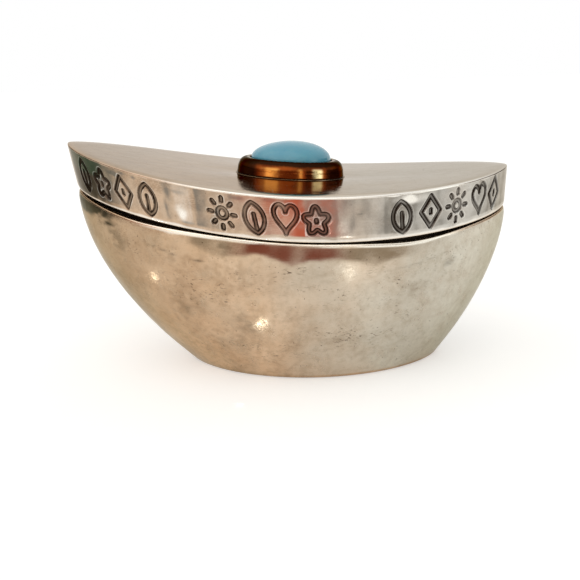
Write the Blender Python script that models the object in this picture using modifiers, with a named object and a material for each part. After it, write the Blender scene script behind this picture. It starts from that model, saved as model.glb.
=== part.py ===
# Treasure box: a cast boat-shaped box under a lift-off saddle lid with a brass-set glass knob.
# Metres, +Z up, +X along the length. The origin is on the ground, below the middle of the lid.
import math

import bmesh
import bpy
from mathutils import Vector

# Plan of the lid's top edge, of the seam below its band, and of the foot: full lengths and widths,
# and how far the seam and the foot stand to the right of the lid's middle
LID_LENGTH = 0.1170
LID_WIDTH = 0.0738
SEAM_LENGTH = 0.1144
SEAM_WIDTH = 0.0692
SEAM_OFFSET = 0.0007
FOOT_LENGTH = 0.0674
FOOT_WIDTH = 0.0423
FOOT_OFFSET = 0.0060

# The plan is an ellipse at a power of one half, and gets more pointed towards the tips;
# the foot is pointed all round
MIDDLE_POWER = 0.52
TIP_POWER = 0.62
FOOT_POWER = 0.67
TIP_REACH = 3

# Heights at the middle, the rise of both tips above it, and the lean that lifts the left one.
# The seam's twist flattens its last climb to the left tip and steepens that to the right one.
LID_HEIGHT = 0.0499
LID_RISE = 0.0065
LID_LEAN = 0.0046
LID_SADDLE_POWER = 1.83
BAND_HEIGHT = 0.0114
SEAM_RISE = 0.00635
SEAM_LEAN = 0.0047
SEAM_TWIST = 0.00075
SEAM_SADDLE_POWER = 1.89

# How full the walls swell between the foot and the seam; 1 would be a straight slope
LEFT_SWELL = 1.87
RIGHT_SWELL = 1.75
SIDE_SWELL = 1.99

# The cast rims touch at the middle and the tips, and stand open between, as they were filed
SEAM_GAP = 0.0003
LEFT_OPENING = 0.0009
RIGHT_OPENING = 0.0008
LEFT_OPENING_SHARE = -0.69
RIGHT_OPENING_SHARE = 0.54
LEFT_SPREAD_SHARE = 0.26
RIGHT_SPREAD_SHARE = 0.19

# Walls, edges and the gap between pieces that touch
BODY_WALL = 0.0023
LID_WALL = 0.0025
EDGE_ROUNDING = 0.0005
TOUCH_GAP = 0.0003

# Collar strip that keeps the lid in place inside the box's rim
COLLAR_THICKNESS = 0.0014
COLLAR_CLEARANCE = 0.0005
COLLAR_DROP = 0.0040
COLLAR_RISE_SHARE = 0.5

# Knob: an oval brass bezel, seated on a low flat pad in the lid's top, as far off its middle as the
# seam. Its radii are those along the box, and its breadth is a share of its length.
KNOB_OFFSET = SEAM_OFFSET
KNOB_BREADTH_SHARE = 0.84
PAD_RISE = 0.0006
SEAT_DEPTH = 0.0002
SEAT_CLEARANCE = 0.0003
BEZEL_RADIUS = 0.01425
BEZEL_TAPER = 0.0006
BEZEL_HEIGHT = 0.0041
BEZEL_FLOOR = 0.0020
BEZEL_SHOULDER = 0.0011
BEZEL_FOOT_EDGE = 0.0002

# Knob: glass cabochon on its backing disc
GLASS_RADIUS = 0.0106
GLASS_DOME = 0.0046
GLASS_EDGE = 0.0003
SETTING_GAP = 0.0003
BACKING_THICKNESS = 0.0005

# Knob: screw from below, with its washer
SCREW_RADIUS = 0.0015
SCREW_HEAD_RADIUS = 0.0028
SCREW_HEAD_HEIGHT = 0.0018
SCREW_SLOT_WIDTH = 0.0008
SCREW_SLOT_DEPTH = 0.0008
SCREW_TIP_CHAMFER = 0.0004
WASHER_RADIUS = 0.0040
WASHER_THICKNESS = 0.0008

# One overrun serves all cuts, and points of a turned shape closer than this are one
CUT_OVERRUN = 0.004
MERGE_DISTANCE = 0.00001

# Counts of the mesh
PLAN_STEPS = 72
WALL_ROWS = 9
TOP_ROWS = 5
SEAT_ROWS = 2
TURN_STEPS = 48
ARC_STEPS = 4
DOME_STEPS = 8
BEVEL_ANGLE = math.radians(34)
SMOOTH_ANGLE = math.radians(40)


def clear_scene():
    for item in list(bpy.data.objects):
        bpy.data.objects.remove(item)


def new_collection(name):
    collection = bpy.data.collections.new(name)
    bpy.context.scene.collection.children.link(collection)
    return collection


def material(name, colour, roughness, metallic):
    made = bpy.data.materials.new(name)
    made.use_nodes = True
    shader = made.node_tree.nodes["Principled BSDF"]
    shader.inputs["Base Color"].default_value = (*colour, 1)
    shader.inputs["Roughness"].default_value = roughness
    shader.inputs["Metallic"].default_value = metallic
    return made


# Heights and plans that the lid, the box and the collar share

def saddle(x, length, height, rise, lean, power):
    share = x / (length / 2)
    return height - lean * share + rise * abs(share) ** power


def lid_top(x):
    return saddle(x, LID_LENGTH, LID_HEIGHT, LID_RISE, LID_LEAN, LID_SADDLE_POWER)


def pad_height(x):
    slope = -LID_LEAN / (LID_LENGTH / 2)
    return lid_top(KNOB_OFFSET) + PAD_RISE + slope * (x - KNOB_OFFSET)


def seam_share(x):
    return (x - SEAM_OFFSET) / (SEAM_LENGTH / 2)


def seam_height(x):
    middle = LID_HEIGHT - BAND_HEIGHT
    x_from_middle = x - SEAM_OFFSET
    even = saddle(x_from_middle, SEAM_LENGTH, middle, SEAM_RISE, SEAM_LEAN, SEAM_SADDLE_POWER)
    return even + SEAM_TWIST * seam_share(x) ** 3


def opening_at(share, middle_share, spread_share):
    return math.exp(-((share - middle_share) / spread_share) ** 2)


def rim_height(x):
    share = seam_share(x)
    left = LEFT_OPENING * opening_at(share, LEFT_OPENING_SHARE, LEFT_SPREAD_SHARE)
    right = RIGHT_OPENING * opening_at(share, RIGHT_OPENING_SHARE, RIGHT_SPREAD_SHARE)
    return seam_height(x) - SEAM_GAP - left - right


def turn_at(index):
    return 2 * math.pi * index / PLAN_STEPS


def plan(length, width, offset, middle_power, tip_power):
    points = []
    for index in range(PLAN_STEPS):
        share = math.cos(turn_at(index))
        power = middle_power + (tip_power - middle_power) * abs(share) ** TIP_REACH
        breadth_share = max(0, 1 - share ** 2) ** power
        y = math.copysign(width / 2 * breadth_share, math.sin(turn_at(index)))
        points.append(Vector((offset + length / 2 * share, y)))
    return points


def lid_plan():
    return plan(LID_LENGTH, LID_WIDTH, 0, MIDDLE_POWER, TIP_POWER)


def seam_plan():
    return plan(SEAM_LENGTH, SEAM_WIDTH, SEAM_OFFSET, MIDDLE_POWER, TIP_POWER)


def foot_plan():
    return plan(FOOT_LENGTH, FOOT_WIDTH, FOOT_OFFSET, FOOT_POWER, FOOT_POWER)


def knob_oval(radius):
    points = []
    for index in range(PLAN_STEPS):
        x = KNOB_OFFSET + radius * math.cos(turn_at(index))
        y = radius * KNOB_BREADTH_SHARE * math.sin(turn_at(index))
        points.append(Vector((x, y)))
    return points


def between(first, second, share):
    return [a.lerp(b, share) for a, b in zip(first, second)]


def inset(points, distances):
    moved = []
    for index, point in enumerate(points):
        along = points[(index + 1) % PLAN_STEPS] - points[index - 1]
        inward = Vector((-along.y, along.x)).normalized()
        moved.append(point + inward * distances[index])
    return moved


def ring(points, height_at):
    return [Vector((point.x, point.y, height_at(point.x))) for point in points]


# Ways of making the pieces

def finish(made, collection, finish_material):
    collection.objects.link(made)
    made.data.materials.append(finish_material)
    made.data.shade_smooth()
    made.data.set_sharp_from_angle(angle=SMOOTH_ANGLE)
    return made


def loft(name, rings, close_start=False, close_end=False):
    shape = bmesh.new()
    rows = [[shape.verts.new(point) for point in row] for row in rings]
    for lower, upper in zip(rows, rows[1:]):
        for index in range(PLAN_STEPS):
            after = (index + 1) % PLAN_STEPS
            shape.faces.new((lower[index], lower[after], upper[after], upper[index]))
    if close_start:
        shape.faces.new(reversed(rows[0]))
    if close_end:
        shape.faces.new(rows[-1])
    mesh = bpy.data.meshes.new(name)
    shape.to_mesh(mesh)
    shape.free()
    return bpy.data.objects.new(name, mesh)


def add_wall(shell, thickness):
    wall = shell.modifiers.new("wall", "SOLIDIFY")
    wall.thickness = thickness
    wall.offset = -1
    wall.use_even_offset = True
    wall.use_quality_normals = True


def round_edges(piece, width):
    edges = piece.modifiers.new("edges", "BEVEL")
    edges.width = width
    edges.segments = 1
    edges.limit_method = "ANGLE"
    edges.angle_limit = BEVEL_ANGLE


def cut(piece, cutter, name):
    difference = piece.modifiers.new(name, "BOOLEAN")
    difference.operation = "DIFFERENCE"
    difference.object = cutter


def turned(name, profile, closed):
    # The profile at +X runs down its outer side; a closed one comes back up its bore
    mesh = bpy.data.meshes.new(name)
    count = len(profile)
    edges = [(index, index + 1) for index in range(count - 1)]
    if closed:
        edges.append((count - 1, 0))
    mesh.from_pydata([(radius, 0, height) for radius, height in profile], edges, [])
    piece = bpy.data.objects.new(name, mesh)
    screw = piece.modifiers.new("turn", "SCREW")
    screw.axis = "Z"
    screw.steps = TURN_STEPS
    screw.render_steps = TURN_STEPS
    screw.use_merge_vertices = True
    screw.merge_threshold = MERGE_DISTANCE
    screw.use_smooth_shade = True
    return piece


def arc(radius, height, width, depth, start, end, steps):
    # Points of an elliptic arc about (radius, height), from one angle to the other
    points = []
    for index in range(steps + 1):
        angle = start + (end - start) * index / steps
        points.append((radius + width * math.cos(angle), height + depth * math.sin(angle)))
    return points


def cylinder_cutter(name, radius, bottom, top, axis, cutters):
    bpy.ops.mesh.primitive_cylinder_add(vertices=TURN_STEPS, radius=radius, depth=top - bottom)
    cutter = bpy.context.object
    keep_as_cutter(cutter, name, cutters)
    cutter.parent = axis
    cutter.location = (0, 0, (bottom + top) / 2)
    # Half a step round, so that no corner of the cutter meets an edge of the lid
    cutter.rotation_euler.z = math.pi / TURN_STEPS
    return cutter


def keep_as_cutter(cutter, name, cutters):
    cutter.name = name
    cutter.hide_render = True
    cutter.display_type = "WIRE"
    for holder in list(cutter.users_collection):
        holder.objects.unlink(cutter)
    cutters.objects.link(cutter)


# The cast box and its lid

def swell_at(index):
    along = math.cos(turn_at(index))
    right_share = (1 + along) / 2
    end_swell = LEFT_SWELL + (RIGHT_SWELL - LEFT_SWELL) * right_share
    return SIDE_SWELL + (end_swell - SIDE_SWELL) * along ** 2


def make_box_body(parts, cast_metal):
    foot = foot_plan()
    seam = seam_plan()
    rows = []
    for row in range(WALL_ROWS + 1):
        height_share = row / WALL_ROWS
        points = []
        for index in range(PLAN_STEPS):
            out_share = 1 - (1 - height_share) ** swell_at(index)
            flat = foot[index].lerp(seam[index], out_share)
            points.append(Vector((flat.x, flat.y, rim_height(seam[index].x) * height_share)))
        rows.append(points)
    body = loft("box_body", rows, close_start=True)
    add_wall(body, BODY_WALL)
    round_edges(body, EDGE_ROUNDING)
    return finish(body, parts, cast_metal)


def top_ring(share):
    # From the lid's edge at share zero, up to the edge of the knob's pad at share one
    points = []
    for edge, pad_edge in zip(lid_plan(), knob_oval(BEZEL_RADIUS)):
        flat = edge.lerp(pad_edge, share)
        rise = pad_height(pad_edge.x) - lid_top(pad_edge.x)
        points.append(Vector((flat.x, flat.y, lid_top(flat.x) + rise * share ** 2)))
    return points


def make_lid(parts, cast_metal):
    rows = [ring(seam_plan(), seam_height)]
    for row in range(TOP_ROWS + 1):
        rows.append(top_ring(row / TOP_ROWS))
    for row in range(1, SEAT_ROWS + 1):
        radius = BEZEL_RADIUS * (1 - row / (SEAT_ROWS + 1))
        rows.append(ring(knob_oval(radius), pad_height))
    lid = loft("lid", rows, close_end=True)
    add_wall(lid, LID_WALL)
    round_edges(lid, EDGE_ROUNDING)
    return finish(lid, parts, cast_metal)


def level_through_band(index):
    # The band leans out, so level distances through its wall are longer than the wall is thick
    foot = seam_plan()[index]
    edge = lid_plan()[index]
    height = lid_top(edge.x) - seam_height(foot.x)
    return (LID_WALL + TOUCH_GAP) * math.hypot(height, (edge - foot).length) / height


def collar_top(x):
    depth = lid_top(x) - LID_WALL - TOUCH_GAP - seam_height(x)
    return seam_height(x) + depth * COLLAR_RISE_SHARE


def innermost(first, second):
    middle = Vector((SEAM_OFFSET, 0))
    return [min(pair, key=lambda point: (point - middle).length) for pair in zip(first, second)]


def make_collar(parts, lid, strip_metal):
    # A strip soldered along the foot of the band and clear of the box's wall. It stands upright,
    # and would lean in only with a band that leans in.
    in_box = BODY_WALL + COLLAR_CLEARANCE
    distances = [max(in_box, level_through_band(index)) for index in range(PLAN_STEPS)]
    seam = seam_plan()
    upper = innermost(seam, between(seam, lid_plan(), COLLAR_RISE_SHARE))
    rows = [
        ring(inset(seam, distances), lambda x: seam_height(x) - COLLAR_DROP),
        ring(inset(upper, distances), collar_top),
    ]
    collar = loft("lid_collar", rows)
    add_wall(collar, COLLAR_THICKNESS)
    collar.parent = lid
    return finish(collar, parts, strip_metal)


# The knob, drawn about its own axis with zero at the pad's surface

def knob_levels():
    bezel_foot = TOUCH_GAP - SEAT_DEPTH
    floor_top = bezel_foot + BEZEL_FLOOR
    backing_foot = floor_top + TOUCH_GAP
    backing_top = backing_foot + BACKING_THICKNESS
    washer_top = -LID_WALL - TOUCH_GAP
    washer_foot = washer_top - WASHER_THICKNESS
    return {
        "bezel_foot": bezel_foot,
        "bezel_top": bezel_foot + BEZEL_HEIGHT,
        "floor_top": floor_top,
        "backing_foot": backing_foot,
        "backing_top": backing_top,
        "glass_foot": backing_top + TOUCH_GAP,
        "washer_top": washer_top,
        "washer_foot": washer_foot,
        "head_top": washer_foot - TOUCH_GAP,
        "head_foot": washer_foot - TOUCH_GAP - SCREW_HEAD_HEIGHT,
        "screw_tip": floor_top - TOUCH_GAP,
    }


def make_knob_axis(parts, lid):
    axis = bpy.data.objects.new("knob_axis", None)
    axis.location = (KNOB_OFFSET, 0, pad_height(KNOB_OFFSET))
    axis.rotation_euler = (0, math.atan2(LID_LEAN, LID_LENGTH / 2), 0)
    axis.parent = lid
    parts.objects.link(axis)
    return axis


def seat_knob(lid, axis, cutters):
    seat_radius = BEZEL_RADIUS + SEAT_CLEARANCE
    seat = cylinder_cutter("seat_cutter", seat_radius, -SEAT_DEPTH, CUT_OVERRUN, axis, cutters)
    seat.scale.y = KNOB_BREADTH_SHARE
    cut(lid, seat, "seat")
    below = -LID_WALL - CUT_OVERRUN
    hole_radius = SCREW_RADIUS + TOUCH_GAP
    hole = cylinder_cutter("hole_cutter", hole_radius, below, CUT_OVERRUN, axis, cutters)
    cut(lid, hole, "hole")


def make_bezel(parts, axis, levels, brass):
    # Its bore is oval too, and clears the round screw across the box
    bore = (SCREW_RADIUS + TOUCH_GAP) / KNOB_BREADTH_SHARE
    pocket = GLASS_RADIUS + SETTING_GAP
    top = levels["bezel_top"]
    foot = levels["bezel_foot"]
    shoulder = BEZEL_RADIUS - BEZEL_TAPER - BEZEL_SHOULDER
    profile = [(pocket, top)]
    profile += arc(shoulder, top - BEZEL_SHOULDER, BEZEL_SHOULDER, BEZEL_SHOULDER,
                   math.pi / 2, 0, ARC_STEPS)
    profile += [
        (BEZEL_RADIUS, foot + BEZEL_FOOT_EDGE),
        (BEZEL_RADIUS - BEZEL_FOOT_EDGE, foot),
        (bore, foot),
        (bore, levels["floor_top"]),
        (pocket, levels["floor_top"]),
    ]
    bezel = turned("knob_bezel", profile, closed=True)
    bezel.scale.y = KNOB_BREADTH_SHARE
    bezel.parent = axis
    return finish(bezel, parts, brass)


def make_backing(parts, axis, levels, foil):
    profile = [
        (0, levels["backing_top"]),
        (GLASS_RADIUS, levels["backing_top"]),
        (GLASS_RADIUS, levels["backing_foot"]),
        (0, levels["backing_foot"]),
    ]
    backing = turned("cabochon_backing", profile, closed=False)
    backing.scale.y = KNOB_BREADTH_SHARE
    backing.parent = axis
    return finish(backing, parts, foil)


def make_cabochon(parts, axis, levels, glass):
    foot = levels["glass_foot"]
    profile = arc(0, levels["bezel_top"], GLASS_RADIUS, GLASS_DOME, math.pi / 2, 0, DOME_STEPS)
    profile[0] = (0, levels["bezel_top"] + GLASS_DOME)
    profile += [
        (GLASS_RADIUS, foot + GLASS_EDGE),
        (GLASS_RADIUS - GLASS_EDGE, foot),
        (0, foot),
    ]
    cabochon = turned("glass_cabochon", profile, closed=False)
    cabochon.scale.y = KNOB_BREADTH_SHARE
    cabochon.parent = axis
    return finish(cabochon, parts, glass)


def make_washer(parts, axis, levels, steel):
    bore = SCREW_RADIUS + TOUCH_GAP
    profile = [
        (WASHER_RADIUS, levels["washer_top"]),
        (WASHER_RADIUS, levels["washer_foot"]),
        (bore, levels["washer_foot"]),
        (bore, levels["washer_top"]),
    ]
    washer = turned("knob_washer", profile, closed=True)
    washer.parent = axis
    return finish(washer, parts, steel)


def make_screw(parts, cutters, axis, levels, steel):
    head_edge = SCREW_HEAD_HEIGHT / 2
    profile = [
        (0, levels["screw_tip"]),
        (SCREW_RADIUS - SCREW_TIP_CHAMFER, levels["screw_tip"]),
        (SCREW_RADIUS, levels["screw_tip"] - SCREW_TIP_CHAMFER),
        (SCREW_RADIUS, levels["head_top"]),
        (SCREW_HEAD_RADIUS, levels["head_top"]),
    ]
    profile += arc(SCREW_HEAD_RADIUS - head_edge, levels["head_foot"] + head_edge, head_edge,
                   head_edge, 0, -math.pi / 2, ARC_STEPS)
    profile.append((0, levels["head_foot"]))
    screw = turned("knob_screw", profile, closed=False)
    screw.parent = axis
    bpy.ops.mesh.primitive_cube_add(size=1)
    slot = bpy.context.object
    keep_as_cutter(slot, "slot_cutter", cutters)
    slot_height = SCREW_SLOT_DEPTH + CUT_OVERRUN
    slot.dimensions = (2 * (SCREW_HEAD_RADIUS + CUT_OVERRUN), SCREW_SLOT_WIDTH, slot_height)
    slot.parent = axis
    slot.location = (0, 0, levels["head_foot"] + SCREW_SLOT_DEPTH - slot_height / 2)
    cut(screw, slot, "slot")
    return finish(screw, parts, steel)


def main():
    clear_scene()
    parts = new_collection("treasure_box")
    cutters = new_collection("cutters")
    cast_metal = material("cast_metal", (0.58, 0.53, 0.47), 0.34, 1.0)
    lid_metal = material("lid_metal", (0.62, 0.57, 0.52), 0.30, 1.0)
    strip_metal = material("strip_metal", (0.36, 0.34, 0.31), 0.45, 1.0)
    brass = material("brass", (0.62, 0.36, 0.12), 0.16, 1.0)
    glass = material("turquoise_glass", (0.14, 0.42, 0.58), 0.12, 0.0)
    foil = material("backing_foil", (0.70, 0.74, 0.76), 0.40, 1.0)
    screw_steel = material("screw_steel", (0.50, 0.50, 0.50), 0.35, 1.0)
    washer_steel = material("washer_steel", (0.56, 0.56, 0.56), 0.30, 1.0)

    levels = knob_levels()
    make_box_body(parts, cast_metal)
    lid = make_lid(parts, lid_metal)
    make_collar(parts, lid, strip_metal)
    axis = make_knob_axis(parts, lid)
    seat_knob(lid, axis, cutters)
    make_bezel(parts, axis, levels, brass)
    make_backing(parts, axis, levels, foil)
    make_cabochon(parts, axis, levels, glass)
    make_washer(parts, axis, levels, washer_steel)
    make_screw(parts, cutters, axis, levels, screw_steel)
    bpy.context.view_layer.update()


main()
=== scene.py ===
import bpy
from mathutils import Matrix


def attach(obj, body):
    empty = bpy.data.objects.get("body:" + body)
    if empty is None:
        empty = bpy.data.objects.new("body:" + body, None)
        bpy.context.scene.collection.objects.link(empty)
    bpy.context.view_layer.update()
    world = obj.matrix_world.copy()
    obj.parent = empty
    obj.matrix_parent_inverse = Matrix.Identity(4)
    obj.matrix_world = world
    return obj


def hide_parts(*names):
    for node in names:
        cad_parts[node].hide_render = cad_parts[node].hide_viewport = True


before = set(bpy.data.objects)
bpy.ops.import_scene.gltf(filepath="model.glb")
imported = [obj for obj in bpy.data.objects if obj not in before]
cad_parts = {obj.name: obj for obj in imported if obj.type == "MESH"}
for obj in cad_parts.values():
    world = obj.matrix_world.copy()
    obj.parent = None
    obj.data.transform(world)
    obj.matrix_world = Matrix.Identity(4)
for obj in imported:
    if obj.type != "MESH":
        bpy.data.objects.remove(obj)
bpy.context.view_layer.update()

import math

import bpy
import numpy as np
from mathutils import Matrix, Vector, noise

# Treasure box: a cast boat-shaped box, its saddle lid with a punched band, and a brass-set glass knob.
# Metres, +X along the box, -Y to the front, Z up.

mm = 0.001


def stand(name, data):
    piece = bpy.data.objects.new(name, data)
    bpy.context.scene.collection.objects.link(piece)
    return piece


# camera, where the photograph was taken from

view = {"place": (6.126, -242.184, 79.854), "yaw": -0.0268, "pitch": 0.2489, "roll": -0.0316,
        "lens": 56.0, "sensor": 36}


def makeCamera():
    yaw, pitch, roll = view["yaw"], view["pitch"], view["roll"]
    forward = Vector((math.sin(yaw) * math.cos(pitch), math.cos(yaw) * math.cos(pitch), -math.sin(pitch)))
    level = Vector((math.cos(yaw), -math.sin(yaw), 0))
    upright = level.cross(forward)
    right = level * math.cos(roll) + upright * math.sin(roll)
    up = upright * math.cos(roll) - level * math.sin(roll)
    turn = Matrix((right, up, -forward)).transposed().to_4x4()
    lensData = bpy.data.cameras.new("camera")
    lensData.lens = view["lens"]
    lensData.sensor_width = view["sensor"]
    camera = stand("camera", lensData)
    camera.matrix_world = Matrix.Translation(Vector(view["place"]) * mm) @ turn
    bpy.context.scene.camera = camera


makeCamera()
print("camera placed")

# outlines and heights that the box, the lid and the collar share, as in the CAD

lidPlan = {"length": 0.1170, "width": 0.0738, "offset": 0, "middle": 0.52, "tip": 0.62}
seamPlan = {"length": 0.1144, "width": 0.0692, "offset": 0.0007, "middle": 0.52, "tip": 0.62}
footPlan = {"length": 0.0674, "width": 0.0423, "offset": 0.0060, "middle": 0.67, "tip": 0.67}
lidSaddle = {"height": 0.0499, "rise": 0.0065, "lean": 0.0046, "twist": 0, "power": 1.83}
seamSaddle = {"height": 0.0385, "rise": 0.00635, "lean": 0.0047, "twist": 0.00075, "power": 1.89}
opening = {"gap": 0.0003, "left": 0.0009, "leftAt": -0.69, "leftSpread": 0.26,
           "right": 0.0008, "rightAt": 0.54, "rightSpread": 0.19}
swell = {"left": 1.87, "right": 1.75, "side": 1.99}


def outline(turns, plan):
    share = np.cos(turns)
    power = plan["middle"] + (plan["tip"] - plan["middle"]) * np.abs(share) ** 3
    breadth = np.clip(1 - share ** 2, 0, 1) ** power
    y = np.sign(np.sin(turns)) * plan["width"] / 2 * breadth
    return np.stack([plan["offset"] + plan["length"] / 2 * share, y], 1)


def saddle(x, plan, form):
    share = (x - plan["offset"]) / (plan["length"] / 2)
    even = form["height"] - form["lean"] * share + form["rise"] * np.abs(share) ** form["power"]
    return even + form["twist"] * share ** 3


def lidTop(x):
    return saddle(x, lidPlan, lidSaddle)


def seamHeight(x):
    return saddle(x, seamPlan, seamSaddle)


def rimHeight(x):
    share = (x - seamPlan["offset"]) / (seamPlan["length"] / 2)
    left = opening["left"] * np.exp(-((share - opening["leftAt"]) / opening["leftSpread"]) ** 2)
    right = opening["right"] * np.exp(-((share - opening["rightAt"]) / opening["rightSpread"]) ** 2)
    return seamHeight(x) - opening["gap"] - left - right


def ring(flat, height):
    return np.column_stack([flat, np.broadcast_to(height, len(flat))])


def lengthAlong(points):
    steps = np.linalg.norm(np.diff(points, axis=0), axis=1)
    return np.concatenate([[0], np.cumsum(steps)])


def columnTurns(plan, backSpacing, frontSpacing):
    # Where the columns of a mesh stand round a plan: first the back, then the front from the left tip.
    # A spacing is a length, or a function of the length along that side from its start.
    turns = []
    for half, spacing in enumerate((backSpacing, frontSpacing)):
        dense = np.linspace(half * math.pi, (half + 1) * math.pi, 6001)
        along = lengthAlong(outline(dense, plan))
        density = 1 / (spacing(along) if callable(spacing) else np.full_like(along, spacing))
        count = np.concatenate([[0], np.cumsum((density[1:] + density[:-1]) / 2 * np.diff(along))])
        columns = int(round(count[-1]))
        turns.append(np.interp(np.arange(columns) / columns * count[-1], count, dense))
    return np.concatenate(turns)


def insetOutline(turns, plan, distance):
    # The plan moved inwards by a wall; its two sides meet on the middle line before each tip
    moved = np.zeros((len(turns), 2))
    for half, side in enumerate((1, -1)):
        dense = np.linspace(half * math.pi, (half + 1) * math.pi, 4001)
        edge = outline(dense, plan)
        step = np.gradient(edge, axis=0)
        inward = np.column_stack([-step[:, 1], step[:, 0]]) / np.linalg.norm(step, axis=1)[:, None]
        inner = edge + inward * distance
        kept = np.flatnonzero(inner[:, 1] * side > 0)
        inner = inner[kept[0]:kept[-1] + 1]
        inner[[0, -1], 1] = 0
        mine = (turns >= half * math.pi) & (turns < (half + 1) * math.pi)
        outerAlong = lengthAlong(edge)
        share = np.interp(turns[mine], dense, outerAlong / outerAlong[-1])
        innerAlong = lengthAlong(inner)
        moved[mine] = np.column_stack([np.interp(share * innerAlong[-1], innerAlong, inner[:, axis])
                                       for axis in (0, 1)])
    return moved


def unevenness(points, size, seed):
    # Smooth lumps from about -1 to 1, of the given size
    shift = Vector((seed, seed * 0.37, -seed))
    return np.array([noise.noise(Vector(point) / size + shift) for point in points])


def lumpsOn(grid, size, seed, squeeze=1):
    # Unevenness over a grid of points, drawn out along Z where squeeze is under one
    return unevenness(grid.reshape(-1, 3) * (1, 1, squeeze), size, seed).reshape(grid.shape[:2])


def smooth(value, low, high):
    share = np.clip((value - low) / (high - low), 0, 1)
    return share * share * (3 - 2 * share)


def valueAt(stops, place):
    # From pairs of a place in millimetres and a value
    return np.interp(place, *zip(*stops))


def softSpots(spots, along, across, unevenEdge=0):
    # Soft marks with a ragged edge: place, height, half width, half height, strength and, for some, lean
    mask = np.zeros(along.shape)
    for place, height, wide, tall, strength, *lean in spots:
        aside = along - place
        away = (aside / wide) ** 2 + ((across - height - sum(lean) * aside) / tall) ** 2
        mask = np.maximum(mask, np.exp(-away) * strength * (1 + unevenEdge))
    return np.clip(mask, 0, 1)


def arcPoints(cx, cy, rx, ry, start, end, steps):
    angles = np.radians(np.linspace(start, end, steps + 1))
    return [(cx + rx * math.cos(a), cy + ry * math.sin(a)) for a in angles]


def coolShare(x):
    # The metal turns from a warm tone at the left tip to a cooler one at the right, a painted tint of the
    # surroundings it mirrors
    return smooth(x, -0.040, 0.056)


# a mesh made of rings

class Skin:
    def __init__(self):
        self.points, self.faces, self.masks = [], [], {}
        self.count = 0

    def add(self, ringPoints, **masks):
        start = self.count
        size = len(ringPoints)
        self.points.append(np.asarray(ringPoints))
        for name in {**self.masks, **masks}:
            values = self.masks.setdefault(name, [np.zeros(start)] if start else [])
            values.append(np.broadcast_to(masks.get(name, 0), size).astype(float))
        self.count += size
        return np.arange(start, start + size)

    def addAll(self, rings, **masks):
        return [self.add(one, **masks) for one in rings]

    def addRows(self, grid, rows, masks, **more):
        # Rows of a grid, with masks as large as the grid
        return [self.add(grid[row], **{name: mask[row] for name, mask in masks.items()}, **more)
                for row in rows]

    def join(self, first, second):
        after = np.roll(first, -1), np.roll(second, -1)
        self.faces += np.column_stack([first, after[0], after[1], second]).tolist()

    def strip(self, rings):
        for first, second in zip(rings, rings[1:]):
            self.join(first, second)

    def bridge(self, fine, coarse):
        # Triangles between two rings of unlike counts, each in the same turning order
        spots = np.concatenate(self.points)
        a = b = 0
        while a < len(fine) or b < len(coarse):
            nextFine, nextCoarse = fine[(a + 1) % len(fine)], coarse[(b + 1) % len(coarse)]
            nowFine, nowCoarse = fine[a % len(fine)], coarse[b % len(coarse)]
            stepFine = np.linalg.norm(spots[nextFine] - spots[nowCoarse])
            stepCoarse = np.linalg.norm(spots[nextCoarse] - spots[nowFine])
            if b >= len(coarse) or (a < len(fine) and stepFine <= stepCoarse):
                self.faces.append([int(nowFine), int(nextFine), int(nowCoarse)])
                a += 1
            else:
                self.faces.append([int(nowFine), int(nextCoarse), int(nowCoarse)])
                b += 1

    def cap(self, one, flip=False):
        self.faces.append([int(i) for i in (one[::-1] if flip else one)])

    def build(self, name, sharpAngle=50):
        mesh = bpy.data.meshes.new(name)
        mesh.from_pydata(np.concatenate(self.points).tolist(), [], self.faces)
        for mask, values in self.masks.items():
            layer = mesh.attributes.new(mask, "FLOAT", "POINT")
            layer.data.foreach_set("value", np.concatenate(values).astype(np.float32))
        mesh.validate()
        mesh.shade_smooth()
        mesh.set_sharp_from_angle(angle=math.radians(sharpAngle))
        return stand(name, mesh)


def unit(vectors):
    return vectors / np.maximum(np.linalg.norm(vectors, axis=1), 1e-9)[:, None]


def rounded(before, corner, after, radius, steps):
    start = corner + unit(before - corner) * radius
    end = corner + unit(after - corner) * radius
    return [(1 - u) ** 2 * start + 2 * u * (1 - u) * corner + u * u * end
            for u in np.linspace(0, 1, steps + 1)]


def gridNormals(grid):
    # Outward normals of rows that climb a wall, each row a closed loop
    along = np.roll(grid, -1, axis=1) - np.roll(grid, 1, axis=1)
    up = np.gradient(grid, axis=0)
    normals = np.cross(along, up)
    size = np.linalg.norm(normals, axis=2, keepdims=True)
    return normals / np.maximum(size, 1e-12)


# shader node groups, shared by the materials

def tone(red, green, blue):
    # A colour as the eye reads it, 0 to 255, for a shader socket
    parts = [channel / 255 for channel in (red, green, blue)]
    return (*[p / 12.92 if p <= 0.04045 else ((p + 0.055) / 1.055) ** 2.4 for p in parts], 1)


class Wire:
    # What comes out of a node; reckoning with it adds Math nodes
    def __init__(self, nodes, socket):
        self.nodes, self.socket = nodes, socket

    def __add__(self, other):
        return self.nodes.math("ADD", self, other)

    def __radd__(self, other):
        return self.nodes.math("ADD", other, self)

    def __sub__(self, other):
        return self.nodes.math("SUBTRACT", self, other)

    def __rsub__(self, other):
        return self.nodes.math("SUBTRACT", other, self)

    def __mul__(self, other):
        return self.nodes.math("MULTIPLY", self, other)

    def __rtruediv__(self, other):
        return self.nodes.math("DIVIDE", other, self)


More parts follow.
